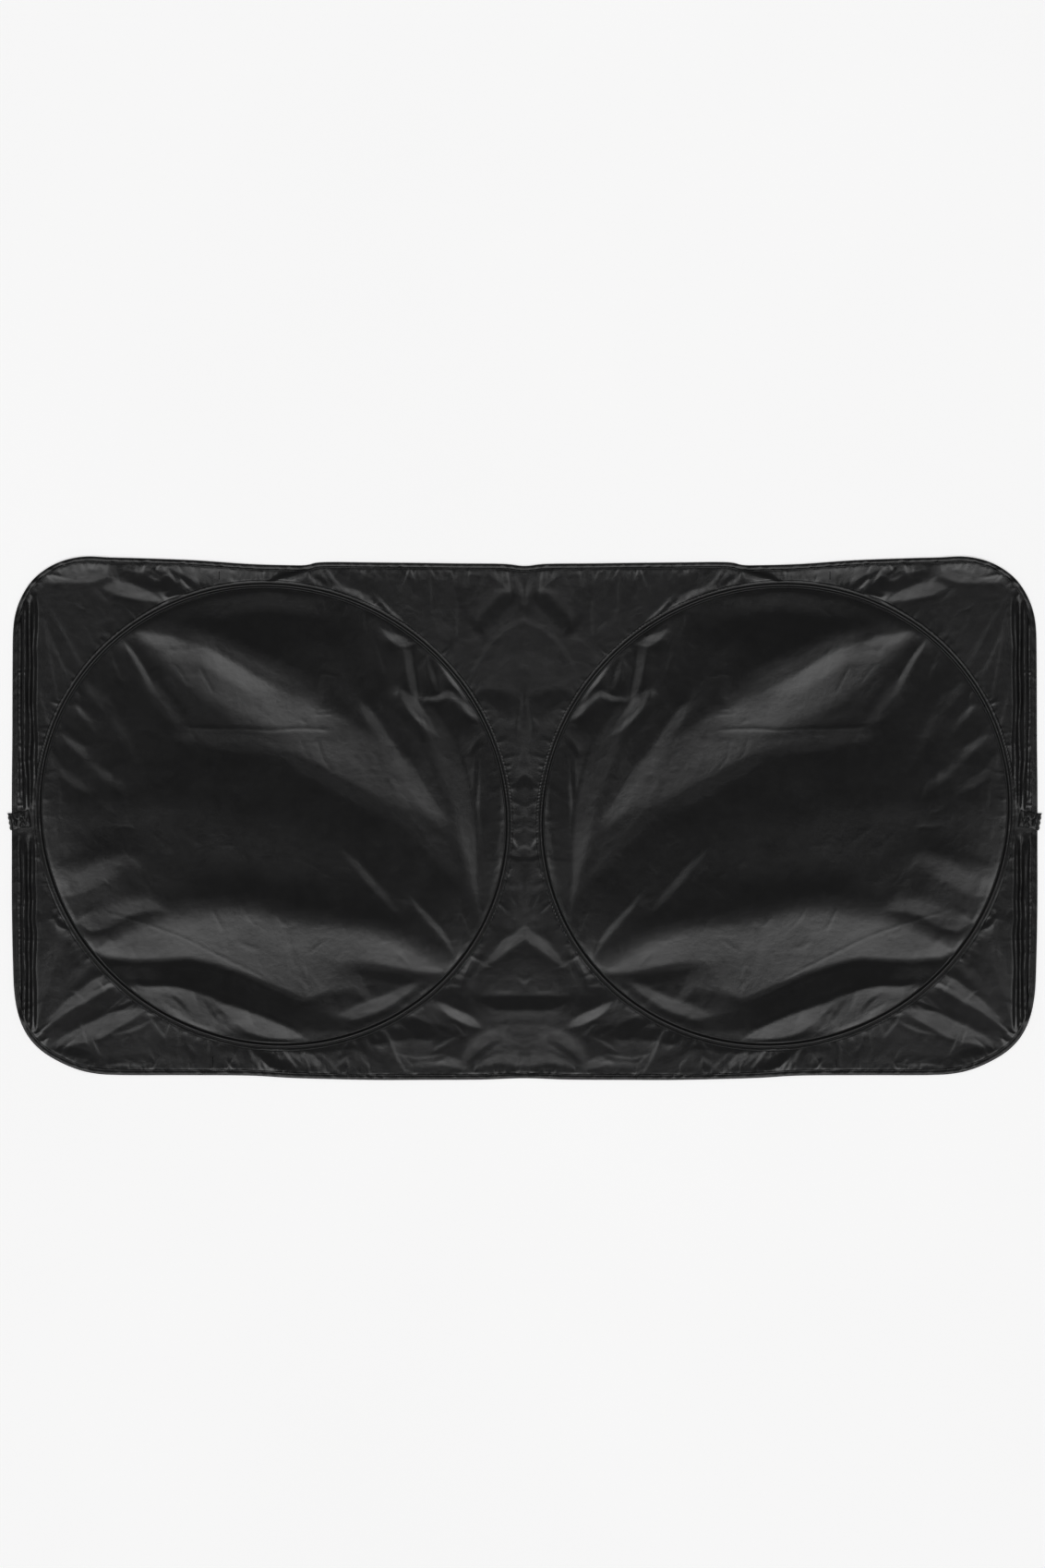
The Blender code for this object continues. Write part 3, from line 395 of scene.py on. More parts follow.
 ('R', 6, 4, [(46,640,1,1,38),(62,668,3,3,42),(78,698,4,3,43),(90,724,3,3,41)]),
 ('R', 2.5, 3, [(42,640,1,1,42),(52,655,1.5,1.5,46),(64,675,1.8,2,50),(76,697,1.8,2.4,50),(85,716,1.5,2,46),(92,730,1,1,40)]),
 ('R', 2, 2.5, [(40,646,1,1,40),(48,670,1.3,1.3,44),(57,698,1.6,2,50),(67,718,1.8,2.2,52),(77,740,1.5,1.5,46)]),
 ('R', 2, 2.5, [(45,656,1,1,40),(51,690,1.4,1.6,44),(57,725,1.5,1.8,46),(63,760,1.2,1.4,44)]),
 ('R', 3, 4, [(80,655,1.5,1.5,38),(90,674,2,2.5,42),(102,700,2,2.5,43),(108,710,1,1,38)]),
 ('R', 3, 3, [(100,662,1,1,38),(108,680,1.6,1.6,44),(116,692,1.8,1.8,50),(121,698,1,1,44)]),
 ('R', 2, 2, [(104,700,1,1,30),(110,690,2,2,28),(106,674,1.5,1.5,29)]),
 ('R', 2, 2, [(118,690,1,1,30),(122,676,2,2,27),(126,666,1,1,29)]),
 ('R', 1.8, 1.8, [(124,668,1,1,40),(129,677,1.4,1.4,48),(134,684,1,1,42)]),
 ('R', 3, 3, [(40,735,1,1,38),(46,758,2,2,44),(52,782,1.8,1.8,45),(56,796,1,1,40)]),
 ('R', 1.5, 1.5, [(20,806,1,1,46),(25,818,1.5,1.5,52),(30,834,1,1,44)]),
 ('R', 1.5, 1.5, [(21,918,1,1,36),(28,926,1.8,1.8,42),(34,932,1,1,36)]),
 ('R', 1.5, 1.5, [(20,934,1,1,44),(25,945,1.5,1.5,52),(30,956,1,1,42)]),
]
# thin sharp creases: (half width px, height mm, points)
CREASES = [
 (1.4, 0.21, [(190,785),(208,788),(232,789),(262,789),(292,791),(322,789),(350,790),(368,791)]),
 (1.2, 0.14, [(104,985),(130,992),(160,1001),(200,1016),(240,1036),(280,1056),(302,1068)]),
 (1.3, 0.19, [(230,984),(236,996),(242,1008)]),
 (1.3, 0.11, [(262,980),(270,995),(280,1005)]),
 (1.2, 0.14, [(216,722),(225,738),(232,752)]),
 (1.2, 0.12, [(188,718),(206,742)]),
 (1.2, 0.15, [(344,731),(356,730),(368,734)]),
 (1.2, 0.12, [(340,773),(352,774),(362,773)]),
 (1.2, 0.12, [(325,795),(330,815),(338,825)]),
 (1.2, 0.12, [(344,800),(350,822),(362,838)]),
 (1.2, 0.11, [(205,788),(212,803)]),
 (1.2, 0.10, [(322,820),(340,838),(366,852)]),
 (1.2, 0.11, [(175,1084),(188,1092),(198,1097)]),
 (1.2, 0.10, [(160,735),(172,722)]),
 (1.2, 0.09, [(480,818),(492,826)]),
]

# ---------------------------------------------------------------------------
# From strokes to a sheet
# ---------------------------------------------------------------------------
X0, X1, Y0, Y1 = 0, 572, 596, 1180
NX, NY = X1 - X0, Y1 - Y0
XX, YY = np.meshgrid(np.arange(X0, X1) + 0.5, np.arange(Y0, Y1) + 0.5)


def sstep(t):
    t = np.clip(t, 0, 1)
    return t * t * (3 - 2 * t)


# how bright each cloth looks when tilted this much towards the near side, and
# when tilted towards one end
TILTS = [-0.42, -0.11, -0.06, -0.04, -0.02, 0.0, 0.02, 0.04, 0.06, 0.08, 0.10, 0.12, 0.15, 0.18]
DISC_LOOK = ([18, 24, 25, 27, 29, 32, 36, 44, 51, 60, 74, 84, 95, 98], [32, 33, 35, 38, 42, 48, 52, 56])
SUR_LOOK = ([20, 28, 30, 31, 34, 38, 42, 49, 56, 64, 75, 83, 92, 96], [38, 39, 40, 43, 46, 51, 54, 57])
SIDE_TILTS = [0.0, 0.02, 0.04, 0.06, 0.08, 0.10, 0.12, 0.15]


def tilt_for(level, sideways, look):
    """How far the cloth tilts to look this bright under the softbox."""
    near, side = look
    return np.interp(level, near, TILTS) * (1 - sideways) + np.interp(level, side, SIDE_TILTS) * sideways


def blur(a, n=1):
    for _ in range(n):
        p = np.pad(a, 1, "edge")
        a = (4 * a + 2 * (p[:-2, 1:-1] + p[2:, 1:-1] + p[1:-1, :-2] + p[1:-1, 2:])
             + p[:-2, :-2] + p[2:, :-2] + p[:-2, 2:] + p[2:, 2:]) / 16
    return a


def window(pts, margin):
    x0 = max(int(pts[:, 0].min() - margin) - X0, 0)
    x1 = min(int(pts[:, 0].max() + margin) - X0 + 1, NX)
    y0 = max(int(pts[:, 1].min() - margin) - Y0, 0)
    y1 = min(int(pts[:, 1].max() + margin) - Y0 + 1, NY)
    return x0, x1, y0, y1


def along(pts, values, xx, yy):
    """For every point: distance to a polyline, its side, the values there and
    how far along it is."""
    best = np.full(xx.shape, 1e9)
    side = np.zeros(xx.shape)
    vals = np.zeros(values.shape[1:] + xx.shape)
    nrm = np.zeros((2,) + xx.shape)
    where = np.zeros(xx.shape)
    seg = np.hypot(*np.diff(pts, axis=0).T)
    total = seg.sum()
    run = 0.0
    for i in range(len(pts) - 1):
        d = pts[i + 1] - pts[i]
        t = np.clip(((xx - pts[i, 0]) * d[0] + (yy - pts[i, 1]) * d[1]) / seg[i] ** 2, 0, 1)
        dist = np.hypot(xx - pts[i, 0] - t * d[0], yy - pts[i, 1] - t * d[1])
        k = dist < best
        cross = (d[0] * (yy - pts[i, 1]) - d[1] * (xx - pts[i, 0])) / seg[i]
        best = np.where(k, dist, best)
        side = np.where(k, np.sign(cross), side)
        where = np.where(k, (run + t * seg[i]) / total, where)
        for j in range(values.shape[1]):
            vals[j] = np.where(k, values[i, j] + (values[i + 1, j] - values[i, j]) * t, vals[j])
        nrm[0] = np.where(k, -d[1] / seg[i], nrm[0])
        nrm[1] = np.where(k, d[0] / seg[i], nrm[1])
        run += seg[i]
    return best, side, vals, nrm, where


def paint(strokes, look):
    plain = float(look[0][5])
    level = np.full((NY, NX), plain)
    gx, gy, w = np.zeros((NY, NX)), np.zeros((NY, NX)), np.full((NY, NX), 0.08)
    for face, soft_l, soft_r, rows in strokes:
        rows = np.array(rows, float)
        x0, x1, y0, y1 = window(rows[:, :2], rows[:, 2:4].max() + max(soft_l, soft_r) + 3)
        if x1 <= x0 or y1 <= y0:
            continue
        s = np.s_[y0:y1, x0:x1]
        dist, side, (wl, wr, lv), nrm, _ = along(rows[:, :2], rows[:, 2:], XX[s], YY[s])
        edge = np.where(side < 0, (wl - dist) / soft_l, (wr - dist) / soft_r) + 0.5
        a = sstep(edge)
        sg = 1 if face == "R" else -1
        level[s] = level[s] * (1 - a) + lv * a
        gx[s] = gx[s] * (1 - a) + nrm[0] * sg * a
        gy[s] = gy[s] * (1 - a) + nrm[1] * sg * a
        # lit flanks set the shape; the dark cloth between them takes up the rest
        firm = np.where((lv >= plain + 5) | (np.abs(lv - plain) < 0.6), 1.0, np.where(lv <= 28, 0.5, 0.25))
        w[s] = w[s] * (1 - a) + firm * a
    n = np.hypot(gx, gy)
    k = np.clip(n, 0, 1) / np.maximum(n, 1e-6)
    s = tilt_for(level, sstep((np.degrees(np.arctan2(np.abs(gx), gy)) - 62) / 30), look)
    return -s * gx * k, -s * gy * k, w


def solve(gx, gy, w, fixed, value, low, high, mean, iters=(120, 200, 300, 400), mu=2e-5):
    """Height of the sheet whose slopes come closest to the wanted ones, held
    at the seams and never under the floor.  Coarse to fine, over-relaxed."""
    h = None
    for s, n_it in zip((8, 4, 2, 1), reversed(iters)):
        ny, nx = NY // s, NX // s

        def down(a):
            return a[:ny * s, :nx * s].reshape(ny, s, nx, s).mean((1, 3))

        ax, ay, wt = down(gx) * s, down(gy) * s, down(w)
        fx = down(fixed.astype(float)) > 0.3
        fv, lo, hi = down(value), down(low), down(high)
        if h is None:
            h = fv.copy()
        else:
            h = np.repeat(np.repeat(h, 2, 0), 2, 1)
            h = np.pad(h, ((0, max(ny - h.shape[0], 0)), (0, max(nx - h.shape[1], 0))), "edge")[:ny, :nx]
        h = np.where(fx, fv, h)
        we, ws = np.zeros((ny, nx + 1)), np.zeros((ny + 1, nx))
        ge, gs = np.zeros((ny, nx + 1)), np.zeros((ny + 1, nx))
        we[:, 1:-1], ws[1:-1] = 0.5 * (wt[:, 1:] + wt[:, :-1]), 0.5 * (wt[1:] + wt[:-1])
        ge[:, 1:-1], gs[1:-1] = 0.5 * (ax[:, 1:] + ax[:, :-1]), 0.5 * (ay[1:] + ay[:-1])
        rhs = we[:, :-1] * ge[:, :-1] - we[:, 1:] * ge[:, 1:] + ws[:-1] * gs[:-1] - ws[1:] * gs[1:]
        m = mu * s * s
        den = we[:, :-1] + we[:, 1:] + ws[:-1] + ws[1:] + m
        jj, ii = np.meshgrid(np.arange(nx), np.arange(ny))
        hp = np.zeros((ny + 2, nx + 2))
        hp[1:-1, 1:-1] = h
        masks = [((ii + jj) % 2 == c) & ~fx for c in (0, 1)]
        c = hp[1:-1, 1:-1]
        for _ in range(n_it):
            for msk in masks:
                nb = (we[:, :-1] * hp[1:-1, :-2] + we[:, 1:] * hp[1:-1, 2:]
                      + ws[:-1] * hp[:-2, 1:-1] + ws[1:] * hp[2:, 1:-1] + rhs + m * mean) / den
                c += np.where(msk, 1.85 * (nb - c), 0.0)
                np.clip(c, lo, hi, out=c)
        h = c.copy()
    out = np.zeros((NY, NX))
    out[:h.shape[0], :h.shape[1]] = h
    return out


def ridge(h, pts, width, height, ends=(0.15, 0.35), power=1.5):
    """Raise a narrow ridge along a polyline, fading at its two ends."""
    pts = np.array(pts, float)
    x0, x1, y0, y1 = window(pts, width * 3 + 2)
    if x1 <= x0 or y1 <= y0:
        return
    s = np.s_[y0:y1, x0:x1]
    dist, _, _, _, t = along(pts, np.zeros((len(pts), 1)), XX[s], YY[s])
    fade = sstep(t / max(ends[0], 1e-3)) * sstep((1 - t) / max(ends[1], 1e-3))
    h[s] += height * fade * np.exp(-(dist / width) ** power)


def noise(scale, seed):
    """Smooth noise over the sheet, mean 0, about 1 at its largest."""
    r = np.random.default_rng(seed)
    n_x, n_y = int(NX / scale) + 4, int(NY / scale) + 4
    g = r.normal(size=(n_y, n_x))
    x, y = np.arange(NX) / scale, np.arange(NY) / scale
    xi, yi = x.astype(int), y.astype(int)
    fx, fy = sstep(x - xi), sstep(y - yi)
    a = g[yi][:, xi] * (1 - fx) + g[yi][:, xi + 1] * fx
    b = g[yi + 1][:, xi] * (1 - fx) + g[yi + 1][:, xi + 1] * fx
    return (a * (1 - fy[:, None]) + b * fy[:, None]) / 2.5


WX, WY = (XX - CX) * U, (CY - YY) * U        # millimetres in the model's frame
R_OFF = ring_off(WX, WY)
RIM = rim_off(WX, WY)
INSIDE = R_OFF < 0

dgx, dgy, dw = paint(DISC, DISC_LOOK)
sgx, sgy, sw = paint(SURROUND, SUR_LOOK)
gx = np.where(INSIDE, dgx, sgx)
gy = np.where(INSIDE, dgy, sgy)
wt = np.where(INSIDE, dw, sw)
wt = np.where(RIM < 1.0, 0.02, wt)
DISC_Z, SUR_Z, RIM_Z = 1.5, 2.5, 1.3
# the ring holds the cloth; so does the keeper strap on the rim; elsewhere the
# rim rides up a few millimetres with the cloth that pulls on it
strap_held = (RIM < 12.0) & (WX < -672) & (np.abs(WY + 5) < 17)
fixed = ((R_OFF > -5.0) & (R_OFF < 3.8)) | strap_held
value = np.where(strap_held, RIM_Z, np.where(INSIDE, DISC_Z, SUR_Z)) / U
low = np.where(RIM < 9.0, RIM_Z, 0.45) / U
high = np.where(RIM < 9.0, 5.2, 9.5) / U
H = solve(gx, gy, wt, fixed, value, low, high, 3.0) * U      # millimetres
print("sheet height", H.min(), H.max())

# ---- fine creases, puckers and crumple, kept off the seams themselves
free = sstep((np.where(INSIDE, -R_OFF - 1.2, R_OFF) - 3.6) / 4.0) * sstep((RIM - 5.5) / 3.5)
F = np.zeros((NY, NX))
for width, height, pts in CREASES:
    ridge(F, pts, width, height, (0.12, 0.12), 1.3)


def seam_puckers(seed, n_total, reach, width, height, side, span=None):
    """Small folds that start at the ring's seam and run away from it."""
    r = np.random.default_rng(seed)
    c, s = math.cos(RING_TILT), math.sin(RING_TILT)
    for i in range(n_total):
        a = (i + r.uniform(-0.4, 0.4)) * 2 * math.pi / n_total
        strength = r.uniform(0.3, 1.0) ** 1.4
        length = r.uniform(*reach) * (0.5 + strength)
        skew = r.normal(0, 0.35)
        u, v = RING_A * math.cos(a), RING_B * math.sin(a)
        nx, ny = RING_B * math.cos(a), RING_A * math.sin(a)
        ln = math.hypot(nx, ny)
        nx, ny = nx / ln, ny / ln
        pts = []
        for k in range(4):
            f = k / 3
            off = side * (5.2 if side < 0 else 5.0) + side * length * U * f
            along_t = skew * length * U * f * (0.6 + 0.4 * f)
            pu, pv = u + nx * off - ny * along_t, v + ny * off + nx * along_t
            x, y = RING_C[0] + c * pu - s * pv, RING_C[1] + s * pu + c * pv
            pts.append((x / U + CX, CY - y / U))
        px, py = pts[0]
        if span is not None and not span(px, py):
            continue
        ridge(F, pts, r.uniform(*width), r.uniform(*height) * strength, (0.02, 0.9), 1.5)


seam_puckers(21, 380, (3, 10), (1.2, 1.9), (0.14, 0.46), 1)
seam_puckers(22, 90, (10, 26), (1.6, 3.0), (0.12, 0.50), 1)
seam_puckers(23, 320, (3, 8), (1.1, 1.8), (0.06, 0.22), -1)
seam_puckers(24, 60, (12, 34), (1.8, 3.4), (0.06, 0.24), -1)


def rim_puckers(seed, spacing, reach, width, height):
    r = np.random.default_rng(seed)
    loop = resample(OUT, spacing)
    nin = normals_in(loop)
    for (x, y), (nx, ny) in zip(loop, nin):
        if x > 20:
            continue
        strength = r.uniform(0.2, 1.0) ** 2
        length = r.uniform(*reach) * (0.5 + strength)
        skew = r.normal(0, 0.3)
        pts = []
        for k in range(4):
            f = k / 3
            off = 6.5 + length * U * f
            side = skew * length * U * f
            pts.append(((x + nx * off - ny * side) / U + CX, CY - (y + ny * off + nx * side) / U))
        ridge(F, pts, r.uniform(*width), r.uniform(*height) * strength, (0.02, 0.9), 1.5)


rim_puckers(31, 5.5, (4, 13), (1.0, 1.8), (0.25, 0.75))
rim_puckers(32, 20.0, (10, 28), (1.3, 2.6), (0.25, 0.75))


def strays(seed, count, box, length, width, height, angle, spread, inside):
    """Odd little creases scattered over an area."""
    r = np.random.default_rng(seed)
    for _ in range(count):
        x, y = r.uniform(box[0], box[2]), r.uniform(box[1], box[3])
        a = math.radians(angle + r.normal(0, spread))
        ln = r.uniform(*length)
        bend = r.normal(0, 0.12) * ln
        dx, dy = math.cos(a), math.sin(a)
        pts = [(x - dx * ln / 2, y - dy * ln / 2), (x + dy * bend, y - dx * bend),
               (x + dx * ln / 2, y + dy * ln / 2)]
        hgt = r.uniform(*height) * (1 if r.uniform() < 0.6 else -1)
        off = ring_off((x - CX) * U, (CY - y) * U)
        if (off < -12) != inside:
            continue
        ridge(F, pts, r.uniform(*width), hgt, (0.4, 0.4), 1.4)


strays(41, 170, (50, 640, 545, 1125), (8, 34), (1.0, 2.2), (0.03, 0.14), 55, 45, True)
strays(42, 50, (60, 640, 540, 1100), (20, 60), (2.5, 5.0), (0.05, 0.16), 60, 35, True)
strays(43, 150, (15, 612, 572, 1165), (8, 26), (1.2, 2.4), (0.05, 0.20), 75, 35, False)
strays(44, 60, (15, 612, 572, 1165), (16, 44), (2.4, 4.5), (0.10, 0.35), 65, 30, False)
crumple = noise(34, 51) * np.where(INSIDE, 0.35, 0.30) + noise(15, 52) * np.where(INSIDE, 0.07, 0.08)
crumple += np.where(INSIDE, 0.04, 0.085) * np.abs(noise(9, 53)) + np.where(INSIDE, 0.016, 0.028) * noise(4.5, 54)
F += crumple
H = np.where(free > 0, H + F * free, H)
H = np.maximum(H, 0.45)
# pleats standing up in the narrow strip between the ring and the end of the rim
def strip_profile(x, near, first, middle, second, tall, wide_fold):
    """Height added across the strip: gullies near 22 and 31 px, folds near 26 and 37 px."""
    xs = [15, 18.4, 22.2 + near, 25.9 + first, 26.6 + first, 31.6 + middle, 36.3 + second, 37.0 + second,
          39.4 + second, 42.5, 62]
    zs = [0, 0.3, -2.1, 4.1 * tall, 4.1 * tall, -2.1, 3.9 * wide_fold, 3.9 * wide_fold, 0.1, 0.0, 0.0]
    return np.interp(x, xs, zs)


for y0, y1, lean in ((640, 884, 1), (900, 1124, -1)):
    r = np.random.default_rng(y0)
    knots = np.linspace(0, 1, 13)
    drifts = [np.clip(r.normal(0, spread, 13), -1.3, 1.3) for spread in (0.55, 0.75, 0.55, 0.70)]
    swells = [1 + np.clip(r.normal(0, 0.10, 13), -0.2, 0.2) for _ in range(2)]
    pleats = np.zeros_like(H)
    for row in range(y0 - Y0, y1 - Y0):
        t = (YY[row, 0] - y0) / (y1 - y0)
        toward = t if lean > 0 else 1 - t
        now = [np.interp(t, knots, v) for v in drifts + swells]
        pleats[row] = strip_profile(XX[row] - lean * 1.6 * toward ** 2, *now)
    env = sstep((YY - y0) / 26) * sstep((y1 - YY) / 26)
    H += blur(pleats * env, 1) * np.where(RIM < 11, sstep((RIM - 2) / 4), 1.0) * sstep((R_OFF - 3.4) / 9)
H = np.clip(H, 0.45, 9.5)
print("sheet height", H.min(), H.max())


def height_at(x_mm, y_mm, z_field=H):
    """Bilinear height under points of the left or the right half."""
    x = -np.abs(x_mm) / U + CX - X0 - 0.5
    y = CY - np.asarray(y_mm) / U - Y0 - 0.5
    x, y = np.clip(x, 0, NX - 1.001), np.clip(y, 0, NY - 1.001)
    xi, yi = x.astype(int), y.astype(int)
    fx, fy = x - xi, y - yi
    z = z_field
    return (z[yi, xi] * (1 - fx) * (1 - fy) + z[yi, xi + 1] * fx * (1 - fy)
            + z[yi + 1, xi] * (1 - fx) * fy + z[yi + 1, xi + 1] * fx * fy)


# The disc and the surround are separate cloths, so each has its own field,
# which carries on level under the ring's casing.
H_DISC = np.where(R_OFF < -1.0, H, DISC_Z)
H_SUR = np.where(R_OFF > 1.0, H, SUR_Z)


# ---------------------------------------------------------------------------
# Materials
# ---------------------------------------------------------------------------
class Nodes:
    """Short way to build a node tree."""

    def __init__(self, name, ior=1.5, specular=0.5, **plain):
        self.m = bpy.data.materials.new(name)
        self.m.use_nodes = True
        self.t = self.m.node_tree
        self.b = self.t.nodes["Principled BSDF"]
        self.b.inputs["IOR"].default_value = ior
        self.b.inputs["Specular IOR Level"].default_value = specular
        for k, v in plain.items():
            self.b.inputs[k.replace("_", " ")].default_value = v
        self.coords = self.t.nodes.new("ShaderNodeTexCoord").outputs["Object"]

    def add(self, kind, **values):
        n = self.t.nodes.new(kind)
        for k, v in values.items():
            setattr(n, k, v)
        return n

    def link(self, a, b):
        self.t.links.new(a, b)

    def noise(self, scale, detail=4.0, rough=0.55, stretch=None, coords=None):
        n = self.add("ShaderNodeTexNoise")
        n.inputs["Scale"].default_value = scale
        n.inputs["Detail"].default_value = detail
        n.inputs["Roughness"].default_value = rough
        src = coords or self.coords
        if stretch:
            m = self.add("ShaderNodeMapping")
            m.inputs["Scale"].default_value = stretch
            self.link(src, m.inputs["Vector"])
            src = m.outputs["Vector"]
        self.link(src, n.inputs["Vector"])
        return n.outputs["Fac"]

    def wave(self, scale, direction, coords=None, distortion=0.0):
        w = self.add("ShaderNodeTexWave", wave_type="BANDS", bands_direction=direction,
                     wave_profile="SIN")
        w.inputs["Scale"].default_value = scale
        w.inputs["Distortion"].default_value = distortion
        w.inputs["Detail"].default_value = 1.0
        self.link(coords or self.coords, w.inputs["Vector"])
        return w.outputs["Fac"]

    def math(self, op, a, b=None, c=None, clamp=False):
        n = self.add("ShaderNodeMath", operation=op, use_clamp=clamp)
        for i, v in enumerate((a, b, c)):
            if v is None:
                continue
            if isinstance(v, (int, float)):
                n.inputs[i].default_value = v
            else:
                self.link(v, n.inputs[i])
        return n.outputs[0]

    def ramp(self, fac, stops):
        n = self.add("ShaderNodeValToRGB")
        e = n.color_ramp.elements
        e[0].position, e[0].color = stops[0][0], (*stops[0][1], 1)
        e[1].position, e[1].color = stops[-1][0], (*stops[-1][1], 1)
        for pos, col in stops[1:-1]:
            x = e.new(pos)
            x.color = (*col, 1)
        self.link(fac, n.inputs["Fac"])
        return n.outputs["Color"]

    def scaled(self, fac, low, high):
        n = self.add("ShaderNodeMapRange")
        n.inputs["To Min"].default_value = low
        n.inputs["To Max"].default_value = high
        self.link(fac, n.inputs["Value"])
        return n.outputs["Result"]

    def bump(self, height, strength, distance, normal=None):
        n = self.add("ShaderNodeBump")
        n.inputs["Strength"].default_value = strength
        n.inputs["Distance"].default_value = distance
        self.link(height, n.inputs["Height"])
        if normal is not None:
            self.link(normal, n.inputs["Normal"])
        return n.outputs["Normal"]


def grey(v):
    return (v, v, v * 1.04)


def coated_cloth(name, turn=0.0, base=0.0062, rough=0.235, specular=0.5):
    """Black coated taffeta: plain weave, a smooth slightly uneven coat, a
    little rubbed where it was folded."""
    n = Nodes(name, specular=specular)
    turned = n.add("ShaderNodeMapping")
    turned.inputs["Rotation"].default_value = (0, 0, math.radians(turn))
    n.link(n.coords, turned.inputs["Vector"])
    co = turned.outputs["Vector"]
    weft = n.wave(320.0, "X", co, 0.4)
    warp = n.wave(270.0, "Y", co, 0.4)
    weave = n.math("MULTIPLY", weft, warp)
    slub = n.noise(900, 2.0, 0.5, (0.10, 1.0, 1.0), co)
    slub2 = n.noise(900, 2.0, 0.5, (1.0, 0.10, 1.0), co)
    threads = n.math("ADD", weave, n.math("MULTIPLY", n.math("ADD", slub, slub2), 0.35))
    clouds = n.noise(14.0, 5.0, 0.62)
    patches = n.noise(75.0, 4.0, 0.6)
    tone = n.math("ADD", n.math("MULTIPLY", clouds, 0.6), n.math("MULTIPLY", patches, 0.4))
    tone = n.math("ADD", tone, n.math("MULTIPLY", n.math("SUBTRACT", weave, 0.25), 0.10))
    color = n.ramp(tone, [(0.30, grey(base * 0.72)), (0.52, grey(base)), (0.74, grey(base * 1.45))])
    rubbed = n.noise(430.0, 3.0, 0.7)
    specks = n.ramp(rubbed, [(0.74, (0, 0, 0)), (0.80, (1, 1, 1))])
    mix = n.add("ShaderNodeMix", data_type="RGBA")
    n.link(n.math("MULTIPLY", specks, 0.30), mix.inputs[0])
    n.link(color, mix.inputs[6])
    mix.inputs[7].default_value = (*grey(base * 4.0), 1)
    n.link(mix.outputs[2], n.b.inputs["Base Color"])
    n.link(n.scaled(n.math("ADD", n.math("MULTIPLY", patches, 0.6),
                           n.math("MULTIPLY", clouds, 0.4)), rough - 0.035, rough + 0.045),
           n.b.inputs["Roughness"])
    coat = n.bump(n.noise(95.0, 4.0, 0.6), 0.16, 0.0010)
    n.link(n.bump(threads, 0.20, 0.00006, coat), n.b.inputs["Normal"])
    return n.m


def tape_cloth(name, pitch=420.0, base=0.0075, rough=0.36, sheen=0.0):
    """Woven black tape or binding: tighter ribs, less shine."""
    n = Nodes(name, Sheen_Weight=sheen, Sheen_Roughness=0.4)
    a = n.wave(pitch, "X", None, 0.6)
    b = n.wave(pitch * 0.85, "Y", None, 0.6)
    weave = n.math("MAXIMUM", a, b)
    fuzz = n.noise(1500, 3.0, 0.6)
    tone = n.math("ADD", n.math("MULTIPLY", n.noise(60, 4.0, 0.6), 0.7),
                  n.math("MULTIPLY", weave, 0.25))
    n.link(n.ramp(tone, [(0.3, grey(base * 0.7)), (0.6, grey(base)), (0.85, grey(base * 1.6))]),
           n.b.inputs["Base Color"])
    n.link(n.scaled(n.noise(160, 3.0), rough - 0.06, rough + 0.08), n.b.inputs["Roughness"])
    low = n.bump(n.noise(240, 3.0, 0.6), 0.25, 0.0006)
    n.link(n.bump(n.math("ADD", weave, n.math("MULTIPLY", fuzz, 0.5)), 0.35, 0.00010, low),
           n.b.inputs["Normal"])
    return n.m


def thread_material():
    """Black polyester thread: two-ply twist with a soft shine."""
    n = Nodes("sewing_thread", specular=0.16)
    turned = n.add("ShaderNodeMapping")
    turned.inputs["Rotation"].default_value = (0.3, 0.4, 0.7)
    n.link(n.coords, turned.inputs["Vector"])
    twist = n.wave(700.0, "X", turned.outputs["Vector"], 0.3)
    n.link(n.ramp(n.math("ADD", n.math("MULTIPLY", twist, 0.5),
                         n.math("MULTIPLY", n.noise(300, 3.0), 0.5)),
                  [(0.25, grey(0.0035)), (0.8, grey(0.010))]), n.b.inputs["Base Color"])
    n.link(n.scaled(n.noise(500, 2.0), 0.42, 0.60), n.b.inputs["Roughness"])
    n.link(n.bump(twist, 0.4, 0.00008), n.b.inputs["Normal"])
    return n.m


def steel_material(name, tint, rough):
    n = Nodes(name, Metallic=1.0)
    marks = n.noise(900, 3.0, 0.6, (1.0, 0.15, 1.0))
    n.link(n.ramp(marks, [(0.3, tuple(c * 0.8 for c in tint)), (0.75, tint)]),
           n.b.inputs["Base Color"])
    n.link(n.scaled(n.noise(120, 3.0), rough - 0.05, rough + 0.10), n.b.inputs["Roughness"])
    n.link(n.bump(marks, 0.15, 0.00005), n.b.inputs["Normal"])
    return n.m


MAT_DISC = coated_cloth("coated_taffeta_disc", 12.0, 0.0060)
MAT_END = coated_cloth("coated_taffeta_end", 0.0, 0.0080, 0.250)
MAT_CENTRE = coated_cloth("coated_taffeta_centre", 0.0, 0.0080, 0.250)
MAT_CASING = coated_cloth("casing_tape", 30.0, 0.0060, 0.28, 0.38)
MAT_BIND = coated_cloth("rim_binding_cloth", 0.0, 0.0060, 0.27, 0.33)
MAT_STRAP = tape_cloth("strap_elastic", 300.0, 0.0080, 0.36, 0.1)
MAT_THREAD = thread_material()

STEEL = steel_material("spring_steel", (0.30, 0.31, 0.33), 0.32)
ZINC = steel_material("ferrule_plating", (0.55, 0.56, 0.58), 0.30)

